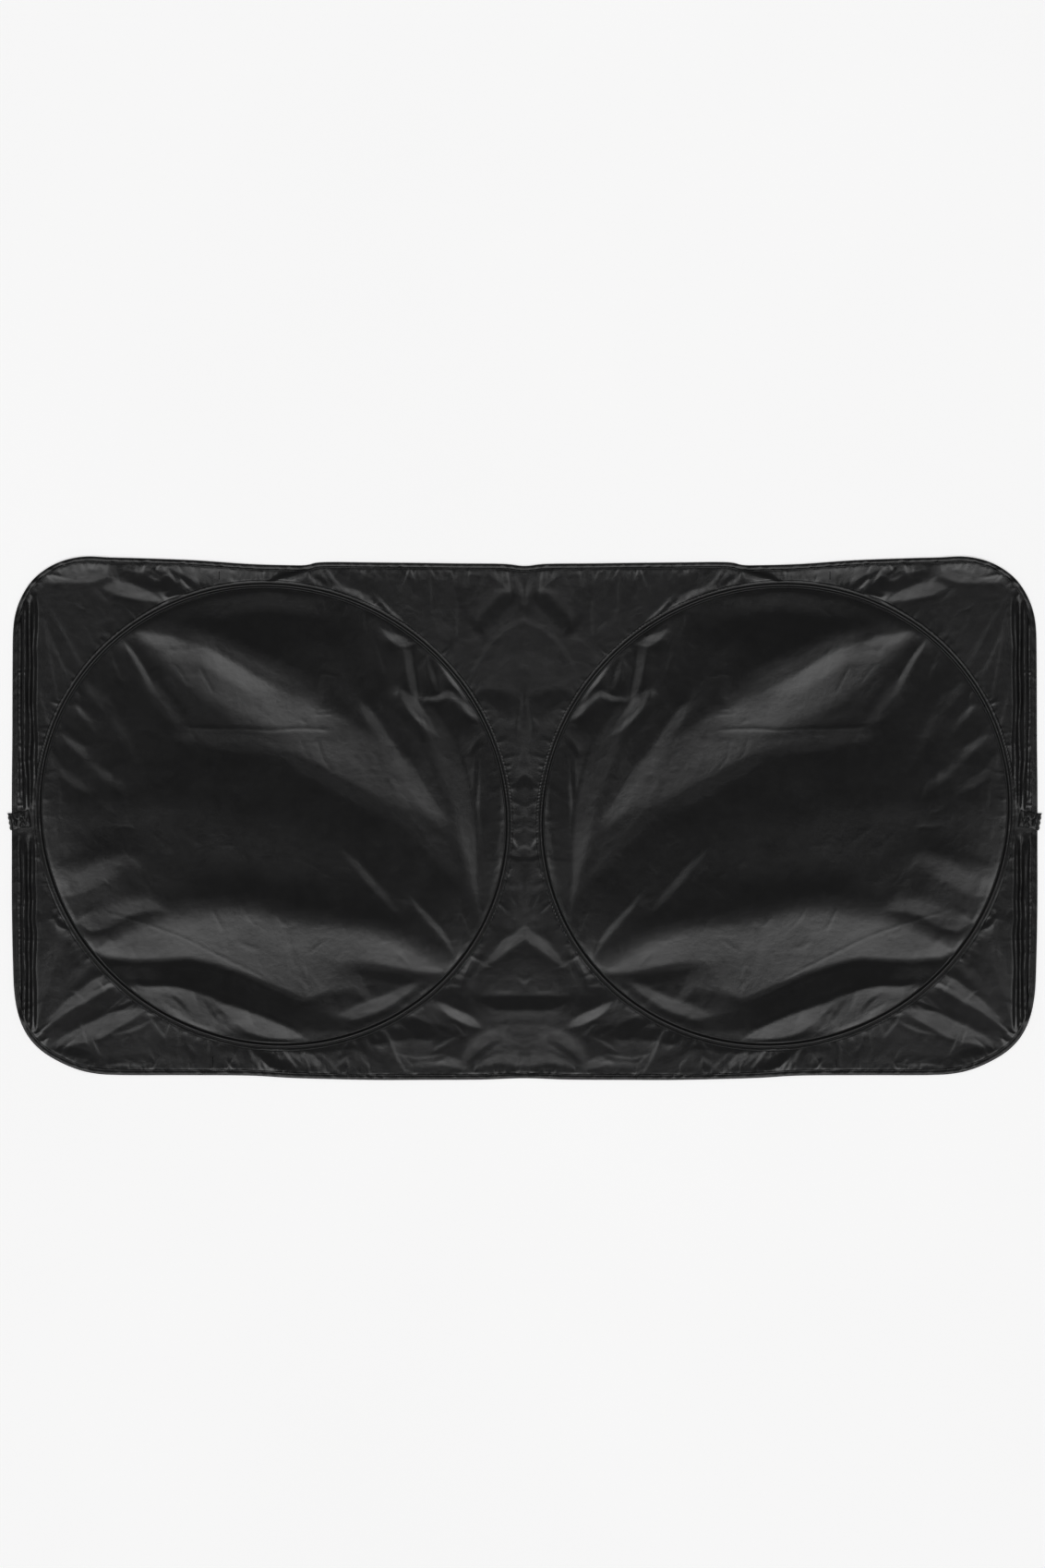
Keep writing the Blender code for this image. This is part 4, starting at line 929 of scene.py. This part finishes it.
# ---------------------------------------------------------------------------
# Meshes
# ---------------------------------------------------------------------------
def make_object(name, verts, faces, material, replaced=None, smooth=True):
    me = bpy.data.meshes.new(name)
    v = np.asarray(verts, np.float32)
    f = np.asarray(faces, np.int32)
    k = f.shape[1]
    me.vertices.add(len(v))
    me.vertices.foreach_set("co", (v * MM).ravel())
    me.loops.add(f.size)
    me.loops.foreach_set("vertex_index", f.ravel())
    me.polygons.add(len(f))
    me.polygons.foreach_set("loop_start", np.arange(0, f.size, k, dtype=np.int32))
    me.polygons.foreach_set("loop_total", np.full(len(f), k, np.int32))
    me.update(calc_edges=True)
    me.validate()
    if smooth:
        me.shade_smooth()
    ob = bpy.data.objects.new(name, me)
    bpy.context.scene.collection.objects.link(ob)
    me.materials.append(material)
    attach(ob, "root")
    if replaced:
        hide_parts(replaced)
    return ob


def snap(points, curve, within=None):
    """Nearest points on a dense closed curve."""
    out = points.copy()
    for s in range(0, len(points), 1500):
        q = points[s:s + 1500]
        d = (q[:, None, 0] - curve[None, :, 0]) ** 2 + (q[:, None, 1] - curve[None, :, 1]) ** 2
        k = d.argmin(1)
        out[s:s + 1500] = curve[k]
    return out


def grid_faces(mask, box, step, edge_curve):
    """Square cells of a plan shape, their outer corners drawn to its edge."""
    x0, y0, x1, y1 = box
    nx, ny = int((x1 - x0) / step) + 1, int((y1 - y0) / step) + 1
    cx = x0 + (np.arange(nx) + 0.5) * step
    cy = y0 + (np.arange(ny) + 0.5) * step
    gx, gy = np.meshgrid(cx, cy)
    cell = mask(gx, gy)
    # a cell that hangs on by a corner is dropped
    for _ in range(2):
        p = np.pad(cell, 1)
        sides = (p[1:-1, :-2].astype(int) + p[1:-1, 2:] + p[:-2, 1:-1] + p[2:, 1:-1])
        cell &= sides >= 2
    j, i = np.nonzero(cell)
    w = nx + 1
    quads = np.stack([j * w + i, j * w + i + 1, (j + 1) * w + i + 1, (j + 1) * w + i], 1)
    used, inv = np.unique(quads, return_inverse=True)
    quads = inv.reshape(quads.shape)
    vx, vy = x0 + (used % w) * step, y0 + (used // w) * step
    p = np.stack([vx, vy], 1).astype(float)
    count = np.bincount(quads.ravel(), minlength=len(p))
    rim = count < 4
    p[rim] = snap(p[rim], edge_curve)
    return p, quads


def in_outline(x, y, inset):
    return rim_off(x, y) > inset


def seam_x(y):
    """Where the seam between an end panel and the centre panel runs."""
    (xt, yt), (xb, yb) = SEAM_TOP, SEAM_BOTTOM
    return xb + (xt - xb) * (np.asarray(y) - yb) / (yt - yb)


def rim_field(step=4.0):
    """Distance inside the outline on a coarse grid, read bilinearly."""
    xs = np.arange(-712, 8, step)
    ys = np.arange(-366, 366, step)
    gx_, gy_ = np.meshgrid(xs, ys)
    f = rim_off(gx_, gy_)

    def read(x, y):
        u = np.clip((x - xs[0]) / step, 0, len(xs) - 1.001)
        v = np.clip((y - ys[0]) / step, 0, len(ys) - 1.001)
        i, j = u.astype(int), v.astype(int)
        a, b = u - i, v - j
        return (f[j, i] * (1 - a) * (1 - b) + f[j, i + 1] * a * (1 - b)
                + f[j + 1, i] * (1 - a) * b + f[j + 1, i + 1] * a * b)
    return read


RIM_AT = rim_field()

# ---- discs
RING_EDGE = ring_loop(2400, -4.8)
disc_p, disc_q = grid_faces(lambda x, y: ring_off(x, y) < -5.5, (-672, -322, -14, 332), 2.0, RING_EDGE)
disc_z = height_at(disc_p[:, 0], disc_p[:, 1], H_DISC)


def flipped(p):
    q = np.array(p, float)
    q[:, 0] *= -1
    return q


for side in ("left", "right"):
    p = disc_p if side == "left" else flipped(disc_p)
    q = disc_q if side == "left" else disc_q[:, ::-1]
    ob = make_object("disc_" + side, np.column_stack([p, disc_z]), q, MAT_DISC,
                     "disc_panel_" + side)
print("disc", len(disc_p), len(disc_q) * 2)

# ---- surround: end panels and the centre panel, lapped at two seams
INNER = ring_loop(2400, 3.7)
RIM_IN = OUT_TREE_P + OUT_TREE_N * 2.4
LAP = 4.0


def panel_edge(side_shift, keep):
    """Ring edge, rim edge and the seam lines as one cloud of edge points."""
    pts = [INNER, resample(RIM_IN, 0.7)]
    for y0, y1 in ((322.0, 346.0), (-352.0, -318.0)):
        y = np.arange(y0, y1, 0.7)
        pts.append(np.column_stack([seam_x(y) + side_shift, y]))
    p = np.vstack(pts)
    return p[keep(p[:, 0], p[:, 1])]


def end_mask(x, y):
    return (ring_off(x, y) > 4.1) & (RIM_AT(x, y) > 2.6) & (x < seam_x(y) + LAP)


def near_end(x, y):
    return x < seam_x(y) + LAP + 0.4


end_p, end_q = grid_faces(end_mask, (-702, -354, -400, 357), 1.45, panel_edge(LAP, near_end))
end_z = height_at(end_p[:, 0], end_p[:, 1], H_SUR)
lap = sstep((end_p[:, 0] - seam_x(end_p[:, 1]) + LAP + 9) / 9)
end_z = np.maximum(end_z - 0.42 * lap, 0.35)
for side in ("left", "right"):
    p = end_p if side == "left" else flipped(end_p)
    q = end_q if side == "left" else end_q[:, ::-1]
    make_object("end_" + side, np.column_stack([p, end_z]), q, MAT_END,
                                        "end_panel_" + side)
print("end", len(end_p), len(end_q) * 2)


def centre_mask(x, y):
    a = -np.abs(x)
    return (ring_off(a, y) > 4.1) & (RIM_AT(a, y) > 2.6) & (a > seam_x(y) - LAP)


left_edge = panel_edge(-LAP, lambda x, y: (x > seam_x(y) - LAP - 0.4) & (x <= 0))
centre_p, centre_q = grid_faces(centre_mask, (-430.4, -356, 430.4, 352), 1.55,
                                np.vstack([left_edge, flipped(left_edge)]))
a = -np.abs(centre_p[:, 0])
centre_z = height_at(a, centre_p[:, 1], H_SUR)
lap = sstep((seam_x(centre_p[:, 1]) + LAP + 9 - a) / 9)
centre_z = centre_z + 0.05 * lap
make_object("centre", np.column_stack([centre_p, centre_z]), centre_q,
                               MAT_CENTRE, "centre_panel")
print("centre", len(centre_p), len(centre_q) * 2)


def sweep(path, normal, profile, closed=True):
    """Closed section carried along a closed path.  path (n,2), normal (n,2),
    profile (n,m,2): distance along the normal, height."""
    n, m = profile.shape[:2]
    v = np.empty((n, m, 3))
    v[:, :, :2] = path[:, None, :] + normal[:, None, :] * profile[:, :, :1]
    v[:, :, 2] = profile[:, :, 1]
    i = np.arange(n)[:, None]
    j = np.arange(m)[None, :]
    a_, b_ = i * m + j, ((i + 1) % n) * m + j
    c_, d_ = ((i + 1) % n) * m + (j + 1) % m, i * m + (j + 1) % m
    return v.reshape(-1, 3), np.stack([a_, b_, c_, d_], 2).reshape(-1, 4)


def wobble(n, period, seed, octaves=((1, 1.0), (2.3, 0.5))):
    """Smooth periodic noise along a closed path of n points."""
    r = np.random.default_rng(seed)
    out = np.zeros(n)
    for f, amp in octaves:
        k = max(int(n / period * f), 3)
        g = r.normal(size=k)
        t = np.arange(n) / n * k
        i = t.astype(int)
        u = sstep(t - i)
        out += amp * (g[i % k] * (1 - u) + g[(i + 1) % k] * u)
    return out / 1.5


# ---- casings over the ring wires
NC = 1440
ring_c = ring_loop(NC)
ring_n = -normals_in(ring_c)
ar = np.arange(NC)
drift = wobble(NC, 30, 62)
slow = np.clip(0.55 + 0.55 * wobble(NC, 40, 63), 0.12, 1.4)
beat = 2 * math.pi * ar * (430 / NC) + 1.8 * wobble(NC, 22, 64)      # a gather every 4.6 mm
tight = 0.45 * np.clip(wobble(NC, 2.6, 61, ((1, 1.0),)), -1.2, 1.2)


def gathers(turn):
    """Gathers of the tape; they run slantwise over the flange, so the turn grows outwards."""
    return np.clip(0.5 + 0.5 * (slow * np.cos(beat + turn) + tight), 0, 1.4)


def at_ring(off, field):
    p = ring_c + ring_n * off
    return height_at(p[:, 0], p[:, 1], field)


hd = at_ring(-5.6, H_DISC)
hs3, hs5, hs7 = at_ring(4.2, H_SUR), at_ring(5.8, H_SUR), at_ring(7.4, H_SUR)
edge = 7.0 + 0.40 * drift
one = 0 * ar
deep = 0.35 * np.clip(wobble(NC, 60, 65), -1, 1)
sleeve = np.exp(-(((ar * 360 / NC - 215 + 180) % 360 - 180) / 2.2) ** 4)      # over the crimped sleeve
gp = gathers(0.0)
turned = np.exp(-(((ar * 360 / NC - 237) / 11) ** 4))            # the flange turns out to the light here
slant, calm = 0.72 * turned, 1 - 0.7 * turned
rows = [
    (-5.7 + one, hd - 0.16), (-5.1 + one, hd - 0.10 + 0.05 * gp), (-4.5 + one, hd - 0.22 + 0.10 * gp),
    (-4.15 + 0.3 * deep, 1.04 + one), (-3.3 + one, 1.00 + one), (-2.65 + one, 1.42 + one),
    (-2.15 - 0.3 * sleeve, 2.00 + 0.08 * gp), (-1.75 - 0.3 * sleeve, 2.78 + 0.14 * gp + 0.45 * sleeve),
    (-1.05 - 0.3 * sleeve, 3.34 + 0.20 * gp + 0.50 * sleeve), (0 * ar, 3.60 + 0.25 * gp + 0.55 * sleeve),
    (1.05 + 0.2 * sleeve, 3.40 + 0.27 * gp + 0.50 * sleeve), (1.8 + 0.3 * sleeve, 3.02 + 0.28 * gp + 0.45 * sleeve),
    (2.35 + 0.2 * sleeve, 2.66 + 0.24 * gp), (2.95 + one, hs3 - 0.22 + 0.16 * gp + slant), (3.4 + one, hs3 - 0.04 + 0.24 * calm * gathers(0.5) + slant),
    (3.95 + one, hs3 + 0.10 + 0.48 * calm * gathers(1.0) + 0.88 * slant), (4.8 + one, hs3 + 0.14 + 0.62 * calm * gathers(1.9) + 0.64 * slant),
    (6.0 + one, hs5 + 0.13 + 0.56 * calm * gathers(3.1) + 0.30 * slant), (edge, hs7 + 0.12 + 0.30 * calm * gathers(4.1)),
    (edge - 0.05, hs7 + 0.04), (4.0 + one, hs3 - 0.06), (2.7 + one, hs3 - 1.15),
    (1.3 + 0.2 * sleeve, 3.10 + 0.5 * sleeve), (-1.25 - 0.3 * sleeve, 3.10 + 0.5 * sleeve),
    (-2.15 - 0.2 * sleeve, 0.75 + one), (-3.0 + one, 0.32 + one), (-4.7 + one, hd - 0.60),
]
prof = np.stack([np.stack([r, z], 1) for r, z in rows], 1)
cas_v, cas_f = sweep(ring_c, ring_n, prof)
for side in ("left", "right"):
    v = cas_v if side == "left" else flipped(cas_v)
    f = cas_f if side == "left" else cas_f[:, ::-1]
    make_object("casing_" + side, v, f, MAT_CASING, "ring_casing_" + side)
print("casing", len(cas_f) * 2)

# ---- binding folded over the whole edge
rim_p = resample(OUT, 2.45)
NB = len(rim_p)
rim_n = normals_in(rim_p)
rim_p = rim_p - rim_n * 0.7
br = np.zeros(NB)
run = np.arange(NB)


def at_rim(off):
    p = rim_p + rim_n * off
    return height_at(p[:, 0], p[:, 1], H_SUR)


g1 = wobble(NB, 2.6, 71, ((1, 0.75), (1.6, 0.6))) * (0.6 + 0.6 * np.abs(wobble(NB, 26, 73)))
g2 = wobble(NB, 14, 72)
half_w = (rim_p[:, 0] > 0)
mirror_of = np.array([np.argmin((rim_p[:, 0] + x) ** 2 + (rim_p[:, 1] - y) ** 2) for x, y in rim_p])
g1 = np.where(half_w, g1[mirror_of], g1)
g2 = np.where(half_w, g2[mirror_of], g2)
corner = sstep((np.abs(rim_p[:, 0]) - 560) / 60)
lap_b = (np.abs(np.abs(rim_p[:, 0]) - 577) < 9) & (rim_p[:, 1] > 300)
lap_b = blur(np.tile(lap_b.astype(float), (3, 1)), 1)[1]
amp = (0.38 + 0.12 * corner) * (1 - 0.8 * sstep((np.abs(rim_p[:, 0]) - 686) / 8))
slope_way = np.where(half_w, -1.0, 1.0)


def smooth_loop(v, n):
    for _ in range(n):
        v = (np.roll(v, 1) + 2 * v + np.roll(v, -1)) / 4
    return v


zr = smooth_loop(at_rim(4.6), 3)
hr = np.maximum(at_rim(8.6), at_rim(7.8))
wide = 8.0 + 0.35 * g2
fold = 0.35 * lap_b


def top_at(r):
    """Top of the band at a distance from its edge; the gathers run slantwise."""
    g = np.interp(run + 0.36 * r * slope_way, np.arange(-6, NB + 6), np.pad(g1, 6, mode="wrap"))
    return np.maximum(zr + 0.70, 2.2) + np.clip(amp * g, -0.34, 0.8) + fold


top = top_at(0.5)
lift = np.maximum(top - 2.35, 0.0)
lean = 0.055 * rim_n[:, 1]
rows = [
    (0.55 + br, 0.30 + br), (0.12 + br, 0.75 + br), (0.0 + br, 1.30 + br), (0.14 + br, 1.72 + 0.3 * lift),
    (0.50 + br, top - 0.38), (1.15 + br, top_at(1.1) - 0.10 - 1.8 * lean), (2.2 + br, top_at(2.2) + 0.02 - 0.8 * lean),
    (3.4 + br, top_at(3.4) + 0.03 + 0.4 * lean), (4.6 + br, top_at(4.6) + 1.6 * lean), (5.4 + br, top_at(5.4) - 0.18 + 2 * lean),
    (6.2 + br, top_at(6.2) - 0.24 + 2 * lean), (6.9 + br, top_at(6.9) - 0.02 + 2 * lean),
    (wide - 0.25, np.maximum(top_at(7.8) - 0.12, hr + 0.26)), (wide, np.maximum(top_at(8.0) - 0.45, hr + 0.06)),
    (wide - 0.5, zr + 0.16), (3.2 + br, zr + 0.26), (2.75 + br, 1.80 + 0.5 * lift), (1.6 + br, 1.80 + 0.3 * lift),
    (0.75 + br, 1.6 + br), (0.55 + br, 0.9 + br), (1.4 + br, 0.62 + br), (3.2 + br, zr - 0.45),
    (7.6 + br, zr - 0.50), (7.7 + br, zr - 0.80), (3.4 + br, zr - 0.80), (1.2 + br, 0.14 + br),
]
prof = np.stack([np.stack([r, z], 1) for r, z in rows], 1)
bind_v, bind_f = sweep(rim_p, rim_n, prof)
binding = make_object("binding", bind_v, bind_f, MAT_BIND, "rim_binding")
print("binding", len(bind_f) * 2)


# ---- stitches: short lengths of thread, each dipping in at both ends
def stitch_mesh(starts, ends, z0, z1, radius, rise, sides=5, segs=4):
    """Many small arched threads as one mesh."""
    n = len(starts)
    t = np.linspace(0, 1, segs + 1)
    d = ends - starts
    ln = np.hypot(d[:, 0], d[:, 1])[:, None]
    side = np.stack([-d[:, 1], d[:, 0]], 1) / ln
    cen = np.empty((n, segs + 1, 3))
    cen[:, :, :2] = starts[:, None] + d[:, None] * t[None, :, None]
    cen[:, :, 2] = z0[:, None] * (1 - t) + z1[:, None] * t + rise * np.sin(math.pi * t) ** 0.6
    rad = radius * (0.45 + 0.55 * np.sin(math.pi * t) ** 0.5)
    a = np.arange(sides) * 2 * math.pi / sides
    v = np.empty((n, segs + 1, sides, 3))
    v[..., :2] = cen[:, :, None, :2] + side[:, None, None, :] * (np.cos(a)[None, None, :, None]
                                                                 * rad[None, :, None, None])
    v[..., 2] = cen[:, :, None, 2] + np.sin(a)[None, None] * rad[None, :, None]
    base = np.arange(n)[:, None, None] * (segs + 1) * sides
    i = np.arange(segs)[None, :, None]
    j = np.arange(sides)[None, None, :]
    q = np.stack([base + i * sides + j, base + i * sides + (j + 1) % sides,
                  base + (i + 1) * sides + (j + 1) % sides, base + (i + 1) * sides + j], 3)
    caps = []
    for k in range(1, sides - 1):
        b0 = (np.arange(n) * (segs + 1) * sides)
        caps.append(np.stack([b0, b0 + k + 1, b0 + k], 1))
        b1 = b0 + segs * sides
        caps.append(np.stack([b1, b1 + k, b1 + k + 1], 1))
    tri = np.concatenate([q.reshape(-1, 4)[:, [0, 2, 1]], q.reshape(-1, 4)[:, [0, 3, 2]]] + caps)
    return v.reshape(-1, 3), tri


def stitch_row(loop, nin, off, pitch, length, z_of, radius=0.24, rise=0.16):
    line = loop + nin * off
    line = resample(line, pitch)
    t = np.roll(line, -1, 0) - np.roll(line, 1, 0)
    t /= np.hypot(t[:, 0], t[:, 1])[:, None]
    s, e = line - t * length / 2, line + t * length / 2
    return stitch_mesh(s, e, z_of(s), z_of(e), radius, rise, 4, 3)


def field_reader(values, loop):
    """Value along a closed loop nearest to given points."""
    def read(p):
        out = np.empty(len(p))
        for s in range(0, len(p), 1500):
            q = p[s:s + 1500]
            out[s:s + 1500] = values[((q[:, None] - loop[None]) ** 2).sum(2).argmin(1)]
        return out
    return read


rim_top = field_reader(top_at(6.0) - 0.20, rim_p)
v, f = stitch_row(rim_p, rim_n, 6.0, 3.4, 2.7, rim_top, 0.27, 0.14)
stitch_rim = make_object("rim_stitching", v, f, MAT_THREAD, None)
n_st = len(f)

fl = field_reader(hs3 + 0.12, ring_c)
v1, f1 = stitch_row(ring_c, ring_n, 3.9, 3.6, 2.7, fl, 0.22, 0.10)
# overcast threads across the flange
n_o = 430
oc = ring_loop(n_o)
on = -normals_in(oc)
s, e = oc + on * 4.4, 0.5 * (oc + np.roll(oc, 1, 0)) + on * 7.4
z_s = field_reader(hs3 + 0.30, ring_c)(oc)
z_e = field_reader(hs7 + 0.14, ring_c)(oc)
v2, f2 = stitch_mesh(s, e, z_s, z_e, 0.21, 0.16, 4, 3)
v, f = np.vstack([v1, v2]), np.vstack([f1, f2 + len(v1)])
for side in ("left", "right"):
    vv = v if side == "left" else flipped(v)
    ff = f if side == "left" else f[:, ::-1]
    make_object("ring_stitching_" + side, vv, ff, MAT_THREAD, None)
n_st += 2 * len(f)

# short rows down the two seams on each side
sv, sf, k = [], [], 0
for y0, y1 in ((SEAM_TOP[1] - 9, 338.0), (-343.5, SEAM_BOTTOM[1] + 9)):
    y = np.arange(y0, y1 - 3, 2.9)
    for dx in (-3.2,):
        s = np.column_stack([seam_x(y) + dx, y])
        e = np.column_stack([seam_x(y + 2.6) + dx, y + 2.6])
        ok = (ring_off(s[:, 0], s[:, 1]) > 8) & (rim_off(e[:, 0], e[:, 1]) > 9) & (rim_off(s[:, 0], s[:, 1]) > 9)
        s, e = s[ok], e[ok]
        if not len(s):
            continue
        v, f = stitch_mesh(s, e, height_at(s[:, 0], s[:, 1], H_SUR) + 0.10,
                           height_at(e[:, 0], e[:, 1], H_SUR) + 0.10, 0.55, 0.10, 4, 3)
        sv.append(v)
        sf.append(f + k)
        k += len(v)
v, f = np.vstack(sv), np.vstack(sf)
v, f = np.vstack([v, flipped(v)]), np.vstack([f, f[:, ::-1] + len(v)])
seam_stitching = make_object("seam_stitching", v, f, MAT_THREAD, None)
print("stitches", n_st + len(f))

# ---- keeper straps: bunched elastic, folded double over the edge
turn = math.radians(9.0)
rs = np.random.default_rng(91)
sx, sy = np.linspace(0, 29.4, 64), np.linspace(-12, 12, 53)
su, sw_ = np.meshgrid(sx, sy)
ridges = np.zeros_like(su)
for _ in range(26):
    cx_, cy_ = rs.uniform(0, 29), rs.uniform(-12, 12)
    an = rs.normal(1.45, 0.35)
    du, dv = su - cx_, sw_ - cy_
    across = du * math.sin(an) - dv * math.cos(an)
    down = du * math.cos(an) + dv * math.sin(an)
    ridges += rs.uniform(0.3, 1.5) * np.exp(-(across / rs.uniform(0.8, 1.8)) ** 2
                                            - (down / rs.uniform(3, 9)) ** 2)
for cx_, cy_, hgt, w_ in ((12.5, 6.5, 2.4, 1.8), (20.0, 7.0, 2.4, 1.7), (9.8, -1.0, 2.3, 1.7),
                          (8.0, -4.6, 2.1, 1.5), (17.5, 1.0, 1.8, 1.7)):
    ridges += hgt * np.exp(-((su - cx_) ** 2 + ((sw_ - cy_) * 0.8) ** 2) / w_ ** 2)
end_fade = sstep(su / 2.2) * sstep((29.4 - su) / 3.0) * sstep((12 - np.abs(sw_)) / 1.6)
tops = 4.9 + (0.2 + ridges) * end_fade
tops -= 0.9 * (1 - sstep(su / 2.0)) + 0.7 * (1 - sstep((29.4 - su) / 2.0))
lows = 2.95 + 0 * su
pinch = 1 - 0.10 * np.sin(math.pi * su / 29.4)
edge_out = 0.5 * np.sin(sw_ * 0.9) * (1 - su / 29.4)
ux, uy = np.cos(turn), np.sin(turn)
ox, oy = -706.4 + 12 * math.sin(turn), -5.0
ny_, nx_ = su.shape
px = ox + (su + edge_out) * ux - sw_ * pinch * uy
py = oy + (su + edge_out) * uy + sw_ * pinch * ux
idx = np.arange(nx_ * ny_).reshape(ny_, nx_)
quad = np.stack([idx[:-1, :-1], idx[:-1, 1:], idx[1:, 1:], idx[1:, :-1]], 2).reshape(-1, 4)
ringi = np.concatenate([idx[0, :-1], idx[:-1, -1], idx[-1, :0:-1], idx[:0:-1, 0]])
wall = np.stack([ringi, np.roll(ringi, -1), np.roll(ringi, -1) + nx_ * ny_, ringi + nx_ * ny_], 1)
sv = np.vstack([np.stack([px.ravel(), py.ravel(), tops.ravel()], 1),
                np.stack([px.ravel(), py.ravel(), lows.ravel()], 1)])
sf = np.vstack([quad, quad[:, ::-1] + nx_ * ny_, wall[:, ::-1]])
for side in ("left", "right"):
    v = sv if side == "left" else flipped(sv)
    f = sf if side == "left" else sf[:, ::-1]
    make_object("strap_" + side + "_bunched", v, f, MAT_STRAP, "strap_" + side)
print("strap", len(sf) * 2)

# ---------------------------------------------------------------------------
# Better finish on the steel that the cloth covers
# ---------------------------------------------------------------------------
for ob in list(bpy.context.scene.objects):
    name = ob.get("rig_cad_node")
    if name and ob.type == "MESH" and not ob.hide_render:
        mat = ZINC if "ferrule" in name else STEEL
        if ob.material_slots:
            for sl in ob.material_slots:
                sl.material = mat
        else:
            ob.data.materials.append(mat)

# ---------------------------------------------------------------------------
# Floor, light and camera
# ---------------------------------------------------------------------------
fme = bpy.data.meshes.new("floor")
S = 40.0
fme.from_pydata([(-S, -S, 0), (S, -S, 0), (S, S, 0), (-S, S, 0)], [], [(0, 1, 2, 3)])
floor = bpy.data.objects.new("floor", fme)
floor.location.z = -0.0002
bpy.context.scene.collection.objects.link(floor)
n = Nodes("floor_pale", specular=0.1)
n.link(n.ramp(n.noise(1.2, 3.0), [(0.3, (0.80, 0.80, 0.80)), (0.7, (0.83, 0.83, 0.83))]),
       n.b.inputs["Base Color"])
n.b.inputs["Roughness"].default_value = 0.9
n.b.inputs["Emission Color"].default_value = (1, 1, 1, 1)
n.b.inputs["Emission Strength"].default_value = 0.55
fme.materials.append(n.m)

# A dark studio dome with a softbox overhead on the near side and a paler band
# round the walls.
world = bpy.data.worlds.new("studio")
bpy.context.scene.world = world
world.use_nodes = True
wt = world.node_tree
bg = wt.nodes["Background"]
tc = wt.nodes.new("ShaderNodeTexCoord")
sep = wt.nodes.new("ShaderNodeSeparateXYZ")
wt.links.new(tc.outputs["Generated"], sep.inputs[0])


def wmath(op, a, b=0.0, c=0.0, clamp=False):
    n = wt.nodes.new("ShaderNodeMath")
    n.operation = op
    n.use_clamp = clamp
    for i, v in enumerate((a, b, c)):
        if isinstance(v, (int, float)):
            n.inputs[i].default_value = v
        else:
            wt.links.new(v, n.inputs[i])
    return n.outputs[0]


def wrange(value, lo, hi, a=0.0, b=1.0):
    n = wt.nodes.new("ShaderNodeMapRange")
    n.interpolation_type = "SMOOTHSTEP"
    n.inputs["From Min"].default_value = lo
    n.inputs["From Max"].default_value = hi
    n.inputs["To Min"].default_value = a
    n.inputs["To Max"].default_value = b
    wt.links.new(value, n.inputs["Value"])
    return n.outputs["Result"]


zen = wmath("MULTIPLY", wmath("ARCCOSINE", wmath("MINIMUM", wmath("MAXIMUM", sep.outputs["Z"], -1.0), 1.0)),
            180 / math.pi)
azi = wmath("MULTIPLY", wmath("ARCTAN2", wmath("ABSOLUTE", sep.outputs["X"]),
                              wmath("MULTIPLY", sep.outputs["Y"], -1.0)), 180 / math.pi)
key = wmath("MULTIPLY", wmath("MULTIPLY", wrange(zen, 10.5, 15.5), wrange(zen, 30.2, 33.6, 1.0, 0.0)),
            wrange(azi, 65.0, 95.0, 1.0, 0.0))
fill = wmath("MULTIPLY", wrange(zen, 6.0, 16.0), wrange(zen, 34.0, 48.0, 1.0, 0.0))
walls = wmath("ADD", wmath("MULTIPLY", wrange(zen, 50.0, 62.0), 0.17),
              wmath("MULTIPLY", wrange(zen, 66.0, 88.0), -0.08))
level = wmath("ADD", wmath("MULTIPLY", key, 3.4), wmath("MULTIPLY", fill, 0.13))
level = wmath("ADD", wmath("ADD", level, walls), 0.02)
wt.links.new(level, bg.inputs["Strength"])
bg.inputs["Color"].default_value = (1, 1, 1, 1)

cam_data = bpy.data.cameras.new("camera")
cam = bpy.data.objects.new("camera", cam_data)
bpy.context.scene.collection.objects.link(cam)
bpy.context.scene.camera = cam
DIST = 16.0
cam.location = (-0.0029, 0.0467, DIST + 0.002)
cam_data.sensor_width = 36.0
cam_data.lens = 36.0 * DIST / 2.14162
cam_data.clip_start, cam_data.clip_end = 0.1, 100.0
bpy.context.scene.view_settings.view_transform = "Standard"
bpy.context.scene.view_settings.look = "None"
